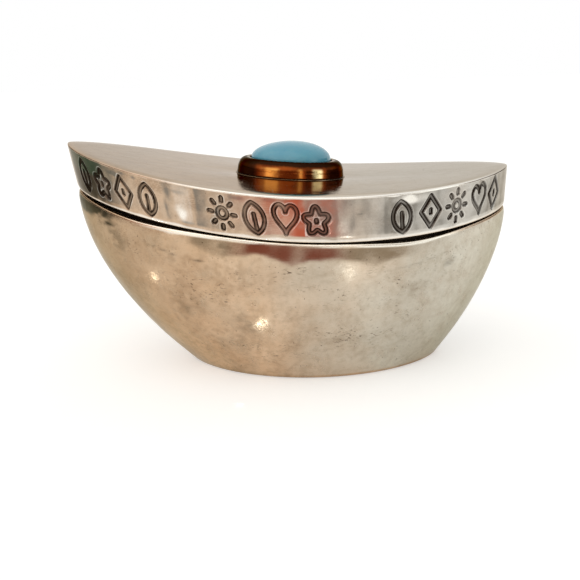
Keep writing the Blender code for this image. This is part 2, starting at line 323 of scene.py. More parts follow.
class Nodes:
    def __init__(self, tree):
        self.tree = tree

    def wires(self, node):
        return {socket.name: Wire(self, socket) for socket in node.outputs}

    def add(self, kind, settings=None, **inputs):
        node = self.tree.nodes.new(kind)
        for name, value in (settings or {}).items():
            setattr(node, name, value)
        for name, value in inputs.items():
            self.feed(node, name.replace("_", " "), value)
        return node

    def feed(self, node, name, value):
        socket = node.inputs[int(name[1:])] if name[0] == "i" and name[1:].isdigit() else node.inputs[name]
        value = value.socket if isinstance(value, Wire) else value
        if isinstance(value, bpy.types.NodeSocket):
            self.tree.links.new(value, socket)
        else:
            socket.default_value = value

    def math(self, operation, first, second=0.0, clamp=False):
        node = self.add("ShaderNodeMath", {"operation": operation, "use_clamp": clamp}, i0=first, i1=second)
        return Wire(self, node.outputs[0])

    def vector(self, operation, first, **more):
        return self.add("ShaderNodeVectorMath", {"operation": operation}, i0=first, **more).outputs[0]

    def ramp(self, value, low, high, start=0.0, end=1.0):
        node = self.add("ShaderNodeMapRange", {"interpolation_type": "SMOOTHSTEP"}, Value=value,
                        **{"From_Min": low, "From_Max": high, "To_Min": start, "To_Max": end})
        return Wire(self, node.outputs["Result"])

    def blend(self, share, first, second, kind="MIX"):
        node = self.add("ShaderNodeMix", {"data_type": "RGBA", "blend_type": kind}, i0=share, i6=first,
                        i7=second)
        return Wire(self, node.outputs[2])

    def noise(self, vector, scale, detail=3.0, roughness=0.55, distortion=0.0):
        node = self.add("ShaderNodeTexNoise", Vector=vector, Scale=scale, Detail=detail, Roughness=roughness,
                        Distortion=distortion)
        return Wire(self, node.outputs["Fac"])


def newGroup(name, inputs, outputs):
    group = bpy.data.node_groups.new(name, "ShaderNodeTree")
    kinds = {"vector": "NodeSocketVector", "value": "NodeSocketFloat", "colour": "NodeSocketColor"}
    for label, kind, start in inputs:
        socket = group.interface.new_socket(name=label, in_out="INPUT", socket_type=kinds[kind])
        if start is not None:
            socket.default_value = start
    for label, kind in outputs:
        group.interface.new_socket(name=label, in_out="OUTPUT", socket_type=kinds[kind])
    nodes = Nodes(group)
    return nodes, nodes.wires(nodes.add("NodeGroupInput")), nodes.add("NodeGroupOutput")


def makePatinaClouds():
    # Cloudy drift between three tones, as on old cast metal that has been handled
    nodes, given, out = newGroup("patinaClouds", [
        ("Vector", "vector", None), ("Size", "value", 16.0), ("Contrast", "value", 1.0),
        ("Fine", "value", 0.4), ("Main", "colour", (0.5, 0.5, 0.5, 1)),
        ("Warm", "colour", (0.5, 0.4, 0.3, 1)), ("Grey", "colour", (0.4, 0.4, 0.4, 1))],
        [("Color", "colour"), ("Mask", "value")])
    large = 1.0 / given["Size"]
    broad = nodes.noise(given["Vector"], large, 2.0, 0.5, 0.6)
    small = nodes.noise(given["Vector"], large * 4.5, 5.0, 0.62, 0.4)
    width = 0.22 / given["Contrast"]
    warm = nodes.ramp(broad, 0.52 - width, 0.52 + width)
    grey = nodes.ramp(small, 0.56 - width, 0.62 + width)
    mixed = nodes.blend(warm, given["Main"], given["Warm"])
    mixed = nodes.blend(grey * given["Fine"], mixed, given["Grey"])
    nodes.feed(out, "Color", mixed)
    nodes.feed(out, "Mask", small)
    return nodes.tree


def makeCastPits():
    # Fine pits of a sand casting: single ones and small swarms
    nodes, given, out = newGroup("castPits", [
        ("Vector", "vector", None), ("Size", "value", 0.9), ("Amount", "value", 0.3)],
        [("Mask", "value"), ("Height", "value")])
    bent = nodes.vector("ADD", given["Vector"], i1=nodes.add(
        "ShaderNodeTexNoise", Vector=given["Vector"], Scale=1.1, Detail=2.0).outputs["Color"])
    cells = nodes.add("ShaderNodeTexVoronoi", Vector=bent, Scale=1.0 / given["Size"], Randomness=1.0)
    chance = nodes.add("ShaderNodeSeparateColor", Color=cells.outputs["Color"]).outputs[0]
    swarm = nodes.ramp(nodes.noise(given["Vector"], 0.16, 3.0, 0.6, 0.5), 0.42, 0.68, 0.15, 1.7)
    limit = 1.0 - given["Amount"] * swarm
    chosen = nodes.math("GREATER_THAN", chance, limit)
    reach = nodes.ramp(chance, limit, 1.0, 0.10, 0.30)
    hollow = nodes.ramp(cells.outputs["Distance"], 0.0, reach, 1.0, 0.0)
    mask = hollow * chosen
    nodes.feed(out, "Mask", mask)
    nodes.feed(out, "Height", mask * -1.0)
    return nodes.tree


def makeDarkFlecks():
    # Short dark scratches and specks that lie along the box; Amount is 0 for none and 1 for a swarm
    nodes, given, out = newGroup("darkFlecks", [
        ("Vector", "vector", None), ("Size", "value", 0.5), ("Amount", "value", 0.5)], [("Mask", "value")])
    scale = 1.0 / given["Size"]
    lengthwise = scale * 0.38
    upright = scale * 1.25
    stretch = nodes.add("ShaderNodeCombineXYZ", X=lengthwise, Y=scale, Z=upright).outputs[0]
    drawn = nodes.vector("MULTIPLY", given["Vector"], i1=stretch)
    fine = nodes.ramp(nodes.noise(drawn, 1.0, 4.0, 0.6, 0.3), 0.55, 0.66)
    loose = nodes.ramp(nodes.noise(given["Vector"], 0.42, 3.0, 0.6), 0.46, 0.62, 0.1, 1.0)
    nodes.feed(out, "Mask", nodes.math("MULTIPLY", fine, loose * given["Amount"], True))
    return nodes.tree


def makeRubbedLines():
    # Fine lines left by polishing along the box
    nodes, given, out = newGroup("rubbedLines", [
        ("Vector", "vector", None), ("Spacing", "value", 0.25), ("Length", "value", 14.0)],
        [("Height", "value"), ("Mask", "value")])
    across = 1.0 / given["Spacing"]
    lengthwise = 1.0 / given["Length"]
    scale = nodes.add("ShaderNodeCombineXYZ", X=lengthwise, Y=across, Z=across).outputs[0]
    lines = nodes.noise(nodes.vector("MULTIPLY", given["Vector"], i1=scale), 1.0, 4.0, 0.65)
    patches = nodes.ramp(nodes.noise(given["Vector"], 0.09, 2.0), 0.35, 0.65)
    nodes.feed(out, "Height", lines * patches)
    nodes.feed(out, "Mask", patches)
    return nodes.tree


groups = {"clouds": makePatinaClouds(), "pits": makeCastPits(), "lines": makeRubbedLines(),
          "flecks": makeDarkFlecks()}
print("node groups made")


def newMaterial(name):
    made = bpy.data.materials.new(name)
    made.use_nodes = True
    nodes = Nodes(made.node_tree)
    shader = made.node_tree.nodes["Principled BSDF"]
    place = nodes.add("ShaderNodeTexCoord").outputs["Object"]
    inMm = nodes.vector("SCALE", place, Scale=1000.0)
    return made, nodes, shader, inMm


def useGroup(nodes, kind, **inputs):
    node = nodes.add("ShaderNodeGroup", {"node_tree": groups[kind]})
    for name, value in inputs.items():
        nodes.feed(node, name, value)
    return nodes.wires(node)


def maskOf(nodes, name):
    return nodes.wires(nodes.add("ShaderNodeAttribute", {"attribute_name": name}))["Fac"]


def cloudy(nodes, place, look, **tones):
    # The drifting tones of a surface and its roughness
    clouds = useGroup(nodes, "clouds", Vector=place, Size=look["cloudSize"], Contrast=look["contrast"],
                      Fine=look["fine"], Main=tones.get("main", look["main"]),
                      Warm=tones.get("warm", look["warm"]), Grey=look["grey"])
    return clouds["Color"], nodes.ramp(clouds["Mask"], 0.3, 0.7, look["smoothest"], look["roughest"])


def rubbedLines(nodes, place, look):
    lines = useGroup(nodes, "lines", Vector=place, Spacing=look["lineSpacing"], Length=look["lineLength"])
    return lines["Height"]


def lumpy(nodes, place, look):
    return nodes.noise(place, look["lumpScale"], 2.0) * look["lumps"]


def finish(nodes, shader, colour, roughness, height, metallic=1.0):
    nodes.feed(shader, "Base Color", colour)
    nodes.feed(shader, "Roughness", roughness)
    nodes.feed(shader, "Normal", nodes.add("ShaderNodeBump", Distance=mm, Height=height).outputs[0])
    shader.inputs["Metallic"].default_value = metallic


def plainMetal(name, look):
    made, nodes, shader, place = newMaterial(name)
    finish(nodes, shader, *cloudy(nodes, place, look), rubbedLines(nodes, place, look) * look["lineDepth"])
    return made


castWear = {"grainScale": 3.2, "driftScale": 0.05, "drift": 0.9, "raggedRub": 0.35, "dullPits": 0.3,
            "dullGrooves": 0.3, "dullInside": 0.22}


def castMetal(name, look):
    # Cast and polished metal. The masks on the mesh say where it is cool, worn, stained or filled with dirt,
    # and where shade, highlights and reflections are painted into the colour.
    made, nodes, shader, place = newMaterial(name)
    wear = castWear
    grain = nodes.noise(place, wear["grainScale"], 4.0, 0.7)
    drift = (nodes.noise(place, wear["driftScale"], 3.0) - 0.5) * wear["drift"]
    # The warm and cool tones are a painted tint of what the metal mirrors
    coolness = nodes.ramp(maskOf(nodes, "cool") + drift, 0.0, 1.0)
    main = nodes.blend(coolness, look["main"], look["cool"])
    warm = nodes.blend(coolness, look["warm"], look["coolWarm"])
    colour, roughness = cloudy(nodes, place, look, main=main, warm=warm)
    pits = useGroup(nodes, "pits", Vector=place, Size=look["pitSize"], Amount=look["pitAmount"])
    lines = rubbedLines(nodes, place, look)
    many = maskOf(nodes, "specks") + look["fleckAmount"]
    flecks = useGroup(nodes, "flecks", Vector=place, Size=look["fleckSize"], Amount=many)
    # The lid's top is tinted apart from the band: a painted tint of what the top mirrors
    colour = nodes.blend(maskOf(nodes, "top"), colour, look["lidTop"], "MULTIPLY")
    mottling = (nodes.noise(place, look["mottleScale"], 6.0, 0.62, 0.15) * 0.6
                + nodes.noise(place, look["mottleScale"] * 4, 4.0, 0.6) * 0.4)
    patchy = nodes.ramp(coolness, 0.2, 1.0, look["mottle"], look["mottle"] * 0.62)
    colour = nodes.blend(nodes.ramp(mottling, 0.42, 0.7) * patchy, colour, look["mottleTone"], "MULTIPLY")
    colour = nodes.blend(nodes.ramp(mottling, 0.52, 0.32) * patchy, colour, look["mottlePale"], "SCREEN")
    band = maskOf(nodes, "band")
    streaked = nodes.ramp(lines, 0.30, 0.60, 0.0, look["streaks"])
    colour = nodes.blend(streaked * band, colour, look["mottleTone"], "MULTIPLY")
    # These tones hold real stains and dirt, and also painted shade and a painted red reflection
    for mask, stainAndLightTone, strength, raggedness in look["stainsAndPaintedLight"]:
        edge = (grain - 0.5) * raggedness
        # The edge frays only where there is some stain, painted shade or painted reflection
        frayed = edge * nodes.ramp(maskOf(nodes, mask), 0.0, 0.3)
        amount = nodes.ramp(maskOf(nodes, mask) + frayed, 0.0, 1.0, 0.0, strength)
        colour = nodes.blend(amount, colour, stainAndLightTone)
    speckle = nodes.ramp(grain, 0.58, 0.80, 0.0, look["speckle"])
    colour = nodes.blend(speckle, colour, look["dirt"])
    colour = nodes.blend(flecks["Mask"], colour, look["dirt"])
    colour = nodes.blend(pits["Mask"] * look["pitStain"], colour, look["dirt"])
    # Polish rubbed bright, together with painted highlights along rims, edges, lips and patches of the band:
    # the metal is painted near white there
    worn = maskOf(nodes, "worn")
    rubbed = nodes.ramp(worn + (grain - 0.5) * wear["raggedRub"], 0.15, 0.95, 0.0, 0.85)
    colour = nodes.blend(rubbed, colour, look["wearAndHighlightTone"])
    groove = maskOf(nodes, "groove")
    colour = nodes.blend(groove, colour, look["grooveDirt"])
    shader.inputs["Specular Tint"].default_value = look["edgeTint"]
    roughness = roughness * nodes.ramp(band, 0.0, 1.0, 1.0, look["bandGloss"])
    roughness = roughness + nodes.ramp(worn, 0.6, 1.0, 0.0, look["edgeRoughness"])
    dull = pits["Mask"] * wear["dullPits"] + groove * wear["dullGrooves"]
    dull = dull + maskOf(nodes, "inside") * wear["dullInside"]
    height = (pits["Height"] * look["pitDepth"]
              + nodes.noise(place, look["lumpScale"], 3.0, 0.6) * look["lumps"])
    height = height + lines * look["lineDepth"] + grain * look["grainDepth"]
    height = height - flecks["Mask"] * look["fleckDepth"]
    finish(nodes, shader, colour, nodes.math("ADD", roughness, dull, True), height)
    return made


# the cast box

bodyLook = {
    "cloudSize": 20.0, "contrast": 1.2, "fine": 0.40, "main": tone(212, 181, 149),
    "warm": tone(194, 162, 130), "cool": tone(205, 200, 187), "coolWarm": tone(193, 186, 172),
    "grey": tone(174, 158, 136), "mottleScale": 0.17, "mottle": 0.56, "mottleTone": tone(206, 197, 186),
    "mottlePale": tone(54, 50, 46), "streaks": 0.0, "edgeTint": (0.68, 0.66, 0.58, 1), "edgeRoughness": 0.03,
    "pitSize": 0.75, "pitAmount": 0.28, "pitStain": 0.85, "pitDepth": 0.06, "fleckSize": 0.42,
    "fleckAmount": 0.20, "fleckDepth": 0.03, "lineSpacing": 0.30, "lineLength": 9.0, "lineDepth": 0.012,
    "grainDepth": 0.010, "lumps": 0.14, "lumpScale": 0.20, "lidTop": (1, 1, 1, 1),
    "speckle": 0.25, "dirt": tone(66, 50, 34), "grooveDirt": tone(70, 54, 40), "wearAndHighlightTone": tone(250, 246, 234),
    "smoothest": 0.17, "roughest": 0.28, "bandGloss": 1.0,
    # Besides stains and dirt, these tones paint shade and a red reflection
    "stainsAndPaintedLight": [("shade", tone(124, 106, 84), 0.90, 0.4), ("paintedRedReflection", tone(108, 54, 38), 0.96, 0.3),
               ("smudge", tone(38, 35, 25), 0.95, 0.5), ("inside", tone(138, 131, 118), 0.75, 0.3)],
}

bodyShape = {
    "wall": 0.0023, "rimRounding": 0.00045, "footRounding": 0.0005, "floorFillet": 0.00125, "spacing": 0.0006,
    "wallRows": 66, "innerRows": 24, "wave": 0.00013, "ripple": 0.00003, "facetLean": 0.00028,
    "raggedFacet": 0.0007,
    # in metres: over which heights the unevenness sets in, where the front begins, the ends of the painted
    # red reflection under the rim, and the shade at the left tip
    "calmFoot": (0.0004, 0.003), "front": (-0.002, 0.008), "paintedRedReflectionFrom": (-0.017, -0.008),
    "paintedRedReflectionTo": (0.009, 0.018), "tipShade": (-0.050, -0.027),
    # unevenness: size, seed and squeeze
    "grains": {"wave": (0.017, 3), "ripple": (0.0045, 8), "filed": (0.006, 21, 0.3), "patch": (0.005, 40),
               "ragged": (0.0022, 44, 2.2), "broad": (0.009, 47), "clouded": (0.021, 77)},
    # along the box: how deep the filed facet reaches, and how deep its polished rim with its painted
    # highlight, in millimetres
    "facet": [(-57, 1.4), (-39, 1.7), (-29, 2.1), (-24, 2.7), (-21.5, 3.9), (-18, 4.8), (-13, 4.3), (-7, 3.0),
              (-3, 3.9), (1, 5.2), (7, 4.1), (12.5, 3.5), (21, 4.9), (28, 3.2), (37, 2.0), (57, 1.6)],
    "polish": [(-57, 0.6), (-36, 1.0), (-28, 1.6), (-20, 1.1), (-10, 0.8), (0, 0.6), (10, 0.8), (22, 1.1),
               (34, 0.9), (57, 0.5)],
    # along the box: how dark the facet's painted shade is, and how bright its rim's painted highlight
    "facetShade": [(-26, 0), (-22, 0.6), (-15, 0.9), (-9, 0.7), (-5, 0.3), (10, 0.3), (14, 0.8), (22, 0.95),
                   (28, 0.6), (34, 0.2), (42, 0)],
    "shine": [(-57, 0.10), (-42, 0.20), (-34, 0.55), (-26, 1), (-8, 0.9), (0, 0.6), (12, 0.9), (34, 1),
              (44, 0.5), (57, 0.3)],
    # marks on the front in millimetres: place, depth below the rim, half width, half height, strength, lean
    # the first smudge, hugging the rim at the left tip, is painted shade under the lid's edge
    "smudges": [(-50.8, 1.2, 5.4, 1.8, 3.0, -0.13), (-45.5, 3.6, 3.0, 0.8, 0.6, -0.2),
                (-30.0, 5.8, 5.0, 0.3, 0.5, 0.24), (-21.5, 6.8, 4.0, 0.3, 0.4, 0.10),
                (33.0, 5.4, 8.0, 0.3, 0.45, -0.14), (40.0, 7.5, 2.0, 1.4, 0.35)],
    "shades": [(-15.0, 2.2, 4.2, 1.4, 1.0, 0.25), (21.0, 2.6, 10.0, 1.3, 0.9, -0.03),
               (-45.0, 7.0, 7.5, 6.5, 0.62), (-26.0, 20.0, 6.0, 5.0, 0.45),
               (-10.0, 22.5, 5.5, 6.0, 0.42, 0.2), (12.0, 25.0, 7.0, 2.0, 0.35, -0.1),
               (8.0, 8.0, 5.0, 3.0, 0.25), (31.0, 12.0, 3.5, 3.0, 0.35), (-12.5, 28.5, 6.5, 4.5, 0.35)],
    "specks": [(-21.5, 14.5, 7.0, 4.2, 1.0), (0.4, 5.6, 5.5, 2.4, 0.9), (13.8, 23.4, 9.5, 3.4, 1.0),
               (-40.0, 8.0, 5.0, 3.5, 0.6), (26.0, 8.0, 6.5, 3.0, 0.6), (-8.0, 30.0, 10.0, 3.0, 0.7),
               (-9.0, 10.5, 5.5, 2.8, 0.8), (40.0, 6.0, 6.0, 2.5, 0.7), (11.0, 12.0, 6.0, 3.0, 0.6),
               (30.0, 17.0, 6.0, 4.0, 0.5)],
}


def makeBody():
    shape = bodyShape
    turns = columnTurns(seamPlan, shape["spacing"], shape["spacing"])
    foot, seam = outline(turns, footPlan), outline(turns, seamPlan)
    innerFoot, innerSeam = [insetOutline(turns, plan, shape["wall"]) for plan in (footPlan, seamPlan)]
    along = np.cos(turns)
    end = swell["left"] + (swell["right"] - swell["left"]) * (1 + along) / 2
    fullness = swell["side"] + (end - swell["side"]) * along ** 2
    climb = lambda low, high, share: low + (high - low) * (1 - (1 - share) ** fullness)[:, None]
    rim = rimHeight(seam[:, 0])
    wall = np.stack([ring(climb(foot, seam, s), rim * s) for s in np.linspace(0, 1, shape["wallRows"] + 1)])
    normals = gridNormals(wall)
    grains = [lumpsOn(wall, *grain) for grain in shape["grains"].values()]
    wave, ripple, filed, patch, ragged, broad, clouded = grains

    # The rim was filed to a slanting facet with a ragged lower edge
    below = rim - wall[:, :, 2]
    filed = filed * shape["raggedFacet"]
    facet = valueAt(shape["facet"], wall[:, :, 0] / mm) * mm + filed
    lumps = (wave * shape["wave"] + ripple * shape["ripple"]) * smooth(wall[:, :, 2], *shape["calmFoot"])
    wall = wall + normals * (lumps - np.clip(1 - below / facet, 0, 1) * shape["facetLean"])[:, :, None]
    wall[0] = ring(foot, 0)
    wall[-1, :, 2] = rim

    x, y, z = np.moveaxis(wall, 2, 0)
    front = smooth(-y, *shape["front"])
    polish = valueAt(shape["polish"], x / mm) * mm
    shine = lambda spots: valueAt(shape["shine"], spots[..., 0] / mm)
    edge = facet + 0.0004 - (broad + 0.5 * patch + 0.4 * ragged) * shape["raggedFacet"]
    inFacet = smooth(below, 0.55 * polish, polish) * (1 - smooth(below, edge - 0.0013, edge + 0.0005)) * front
    marks = lambda name, uneven: softSpots(shape[name], x / mm, below / mm, uneven) * front
    uneven = 0.7 * ragged + 0.6 * patch
    darkened = valueAt(shape["facetShade"], x / mm) * (0.9 + 0.5 * patch + 0.3 * broad)
    # The bright rim is polish with a painted highlight, the red in the facet is a painted reflection, the
    # facet's dark is painted shade, and the foot is darker too
    masks = {
        "worn": (1 - smooth(below + 0.4 * filed, 0.5 * polish, polish)) * shine(wall),
        "paintedRedReflection": (smooth(x, *shape["paintedRedReflectionFrom"]) * (1 - smooth(x, *shape["paintedRedReflectionTo"])) * inFacet
                  * (0.9 + 0.5 * patch)),
        "smudge": np.maximum(marks("smudges", uneven), (1 - smooth(z, 0, 0.0018)) * 0.35),
        "shade": np.maximum.reduce([0.25 * smooth(clouded, 0.05, 0.55) * (1 - 0.8 * coolShare(x)),
                                    0.44 * (1 - smooth(x - 0.3 * z, *shape["tipShade"])) * front,
                                    marks("shades", uneven), darkened * inFacet]),
        "specks": marks("specks", 0), "cool": coolShare(x)}

    innerRim = rimHeight(innerSeam[:, 0])
    inside = [ring(climb(innerFoot, innerSeam, s), shape["wall"] + (innerRim - shape["wall"]) * s)
              for s in np.linspace(1, 0, shape["innerRows"] + 1)]
    middle = np.array([footPlan["offset"], 0])
    across = lambda edge, share, height: ring(middle + (edge - middle) * share, height)
    skin = Skin()
    rows = skin.addAll([across(foot, share, 0) for share in (0.35, 0.70, 0.95)], inside=0.6)
    skin.cap(rows[0], flip=True)
    rows += skin.addAll(rounded(across(foot, 0.95, 0), wall[0], wall[2], shape["footRounding"], 4),
                        smudge=0.3)
    rows += skin.addRows(wall, range(2, len(wall) - 1), masks)
    rows += [skin.add(r, worn=shine(r), shade=0.4 * (1 - shine(r)))
             for r in rounded(wall[-2], wall[-1], inside[0], shape["rimRounding"], 4)]
    rows += skin.addAll(rounded(wall[-1], inside[0], inside[1], shape["rimRounding"], 4), worn=0.4,
                        inside=0.5)
    floorEdge = across(innerFoot, 0.7, shape["wall"])
    rows += skin.addAll(inside[1:-1] + rounded(inside[-2], inside[-1], floorEdge, shape["floorFillet"], 5),
                        inside=1)
    rows += skin.addAll([floorEdge, across(innerFoot, 0.4, shape["wall"])], inside=1)
    skin.strip(rows)
    skin.cap(rows[-1])
    body = skin.build("castBox")
    body.data.materials.append(castMetal("castBoxMetal", bodyLook))
    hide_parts("box_body")
    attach(body, "box")


makeBody()
print("box made")

# motifs punched in the band: strokes in millimetres, 8 high, each a list of points

def leafStrokes():
    side = arcPoints(-2.16, 0, 4.46, 4.46, -61, 61, 13)
    return [side, [(-x, y) for x, y in side], [(0, -2.9), (0, 1.0)]]


def lozengeStrokes():
    return [[(0, 3.9), (2.7, 0), (0, -3.9), (-2.7, 0), (0, 3.9)], [(0, 0.4), (0, -0.4)]]


def flowerStrokes():
    turns = np.radians(np.arange(0, 361, 6))
    reach = 2.45 + 0.62 * np.cos(5 * turns)
    return [list(zip(reach * np.sin(turns), reach * 1.2 * np.cos(turns))), [(0, 0.25), (0, -0.25)]]


def heartStrokes():
    points = []
    for a in np.linspace(0, 2 * math.pi, 40):
        x = 16 * math.sin(a) ** 3
        y = 13 * math.cos(a) - 5 * math.cos(2 * a) - 2 * math.cos(3 * a) - math.cos(4 * a)
        points.append((x * 0.172, y * 0.250 + 0.6))
    return [points]


def sunStrokes():
    strokes = [arcPoints(0, 0, 1.15, 1.35, 0, 360, 15)]
    for angle in np.radians(range(0, 360, 45)):
        strokes.append([(reach * math.cos(angle), reach * 1.25 * math.sin(angle)) for reach in (2.45, 3.15)])
    return strokes


motifs = {"leaf": leafStrokes(), "lozenge": lozengeStrokes(), "flower": flowerStrokes(),
          "heart": heartStrokes(), "sun": sunStrokes()}

# Each punch: motif, millimetres along the front of the band from its left tip, height off the middle, tilt
punches = [
    ("leaf", 15.8, 0.2, 5), ("flower", 24.3, -0.1, -4), ("lozenge", 32.0, -0.3, 3), ("leaf", 39.5, -0.4, -3),
    ("sun", 59.1, 0.0, -4), ("leaf", 66.8, -0.2, 6), ("heart", 74.1, 0.0, -3), ("flower", 81.3, -0.2, 2),
    ("leaf", 102.1, -0.3, 4), ("lozenge", 109.9, 0.1, 0), ("sun", 117.9, 0.2, -3), ("heart", 126.3, 0.2, 4),
    ("lozenge", 133.5, 0.4, -4),
]

punch = {"halfWidth": 0.70, "flatWidth": 0.28, "depth": 0.00050, "lip": 0.00005, "lipWidth": 0.16,
         "reach": 5.0}


def strokeDistance(u, v, strokes):
    best = np.full(u.shape, 99.0)
    for stroke in strokes:
        for (ax, ay), (bx, by) in zip(stroke, stroke[1:]):
            dx, dy = bx - ax, by - ay
            share = np.clip(((u - ax) * dx + (v - ay) * dy) / max(dx * dx + dy * dy, 1e-9), 0, 1)
            best = np.minimum(best, np.hypot(u - ax - share * dx, v - ay - share * dy))
    return best


def punchMarks(along, up):
    # Depth of the punched grooves with their raised lips, how dark each point is, and the rubbed lips, which
    # carry a painted highlight
    depth, dark, rubbed = [np.zeros(along.shape) for _ in range(3)]
    for number, (motif, place, rise, tilt) in enumerate(punches):
        angle = math.radians(tilt)
        u, v = along - place, up - rise
        near = (np.abs(u) < punch["reach"]) & (np.abs(v) < punch["reach"] + 1)
        pu = u[near] * math.cos(angle) + v[near] * math.sin(angle)
        pv = v[near] * math.cos(angle) - u[near] * math.sin(angle)
        away = strokeDistance(pu, pv, motifs[motif])
        inside = 1 - smooth(away, punch["flatWidth"], punch["halfWidth"])
        force = 0.85 + 0.15 * math.sin(number * 2.3)
        lip = np.exp(-((away - punch["halfWidth"] - 0.12) / punch["lipWidth"]) ** 2)
        depth[near] += inside * punch["depth"] * force - lip * punch["lip"]
        flat = 1 - smooth(away, punch["flatWidth"] * 0.3, punch["flatWidth"])
        dark[near] = np.maximum(dark[near], smooth(inside, 0.01, 0.34) * (1 - 0.40 * flat))
        rubbed[near] = np.maximum(rubbed[near], lip)
    return depth, dark, rubbed


# Tones along the front of the band, of stains and of what the metal mirrors: millimetres and strength
bandTones = {
    "shade": [(0, 0.6), (7.8, 0.5), (8.4, 0.8), (20, 0.9), (27, 0.75), (32, 0.35), (38, 0.22), (44, 0.2),
              (45, 0.45), (46.6, 0.1), (52.3, 0.1), (52.9, 0.85), (54.2, 0.75), (56, 0.3), (60, 0.3),
              (64, 0.4), (70, 0.25), (76, 0.2), (77.7, 0.85), (84, 0.95), (86.5, 0.65), (89, 0.60),
              (92, 0.46), (96.8, 0.42), (97.6, 0.85), (102, 0.8), (105, 0.6), (109, 0.5), (113, 0.55),
              (116, 0.3), (122, 0.3), (126, 0.5), (140, 0.6), (150, 0.6)],
    "smudge": [(0, 0.1), (6.6, 0.1), (7.8, 1.2), (18, 1.2), (21.5, 0.9), (26, 0.5), (31, 0.2), (36, 0)],
    "paintedRedReflection": [(58, 0), (63, 0.3), (66, 0.4), (70, 0.5), (74, 0.75), (76, 1), (78.4, 1), (79.2, 0.55),
              (84.5, 0.5), (87, 0.3), (90, 0.1), (93, 0)],
    "worn": [(0, 0), (46, 0), (47.5, 0.35), (51.5, 0.35), (52.5, 0), (57, 0.1), (60, 0.2), (62, 0), (92, 0),
             (94, 0.12), (97, 0.15), (97.5, 0), (115, 0), (117, 0.25), (121, 0.25), (124, 0)],
}

# Spots on the band: millimetres along the front, share of the height, half width, half height share, strength
bandSpots = {
    "shade": [(29.3, 0.84, 2.6, 0.07, 1.0), (33.2, 0.90, 1.8, 0.05, 0.8), (36.6, 0.88, 1.2, 0.05, 0.6),
              (45.6, 0.72, 1.3, 0.20, 0.8), (44.6, 0.42, 0.6, 0.30, 0.7), (48.5, 0.80, 2.0, 0.06, 0.6),
              (49.8, 0.15, 2.4, 0.04, 0.6), (63.5, 0.88, 2.4, 0.06, 0.8), (74.0, 0.90, 5.5, 0.05, 0.9),
              (99.0, 0.35, 2.2, 0.22, 0.95), (106.5, 0.80, 2.6, 0.07, 0.7), (112.5, 0.25, 1.6, 0.12, 0.7),
              (121.5, 0.80, 2.0, 0.06, 0.5), (91.0, 0.62, 2.6, 0.03, 0.6), (93.5, 0.42, 2.2, 0.03, 0.5),
              (56.5, 0.30, 0.8, 0.25, 0.5), (70.2, 0.45, 0.7, 0.30, 0.5)],
    # bright spots are rubbed metal, some with a painted highlight
    "worn": [(48.9, 0.36, 2.0, 0.20, 0.8), (41.5, 0.97, 2.4, 0.03, 1.0), (104.0, 0.85, 4.5, 0.11, 1.0),
             (78.8, 0.30, 0.3, 0.30, 0.5), (58.0, 0.55, 1.0, 0.20, 0.4), (117.5, 0.60, 2.4, 0.20, 0.4)],
}


# the lid

lidLook = {
    "cloudSize": 18.0, "contrast": 0.8, "fine": 0.30, "main": tone(204, 177, 150),
    "warm": tone(196, 166, 138), "cool": tone(203, 202, 197), "coolWarm": tone(193, 190, 184),
    "grey": tone(178, 166, 148), "mottleScale": 0.22, "mottle": 0.45, "mottleTone": tone(196, 186, 177),
    "mottlePale": tone(48, 44, 40), "streaks": 0.7, "edgeTint": (0.74, 0.69, 0.62, 1), "edgeRoughness": 0.16,
    "pitSize": 0.80, "pitAmount": 0.16, "pitStain": 0.60, "pitDepth": 0.05, "fleckSize": 0.42,
    "fleckAmount": 0.12, "fleckDepth": 0.012, "lineSpacing": 0.20, "lineLength": 12.0, "lineDepth": 0.003,
    # the top's tint is a painted tint of what the top mirrors
    "grainDepth": 0.003, "lumps": 0.05, "lumpScale": 0.14, "lidTop": tone(234, 229, 220),
    "speckle": 0.10, "dirt": tone(84, 66, 50), "grooveDirt": tone(34, 24, 17), "wearAndHighlightTone": tone(250, 246, 238),
    "smoothest": 0.07, "roughest": 0.12, "bandGloss": 1.6,
    # Besides stains and dirt, these tones paint shade and a red reflection
    "stainsAndPaintedLight": [("shade", tone(112, 107, 99), 0.85, 0.35), ("paintedRedReflection", tone(176, 80, 52), 0.88, 0.4),
               ("smudge", tone(26, 22, 15), 0.97, 0.4), ("moss", tone(36, 64, 48), 0.70, 0.4),
               ("inside", tone(120, 112, 98), 0.75, 0.3)],
}

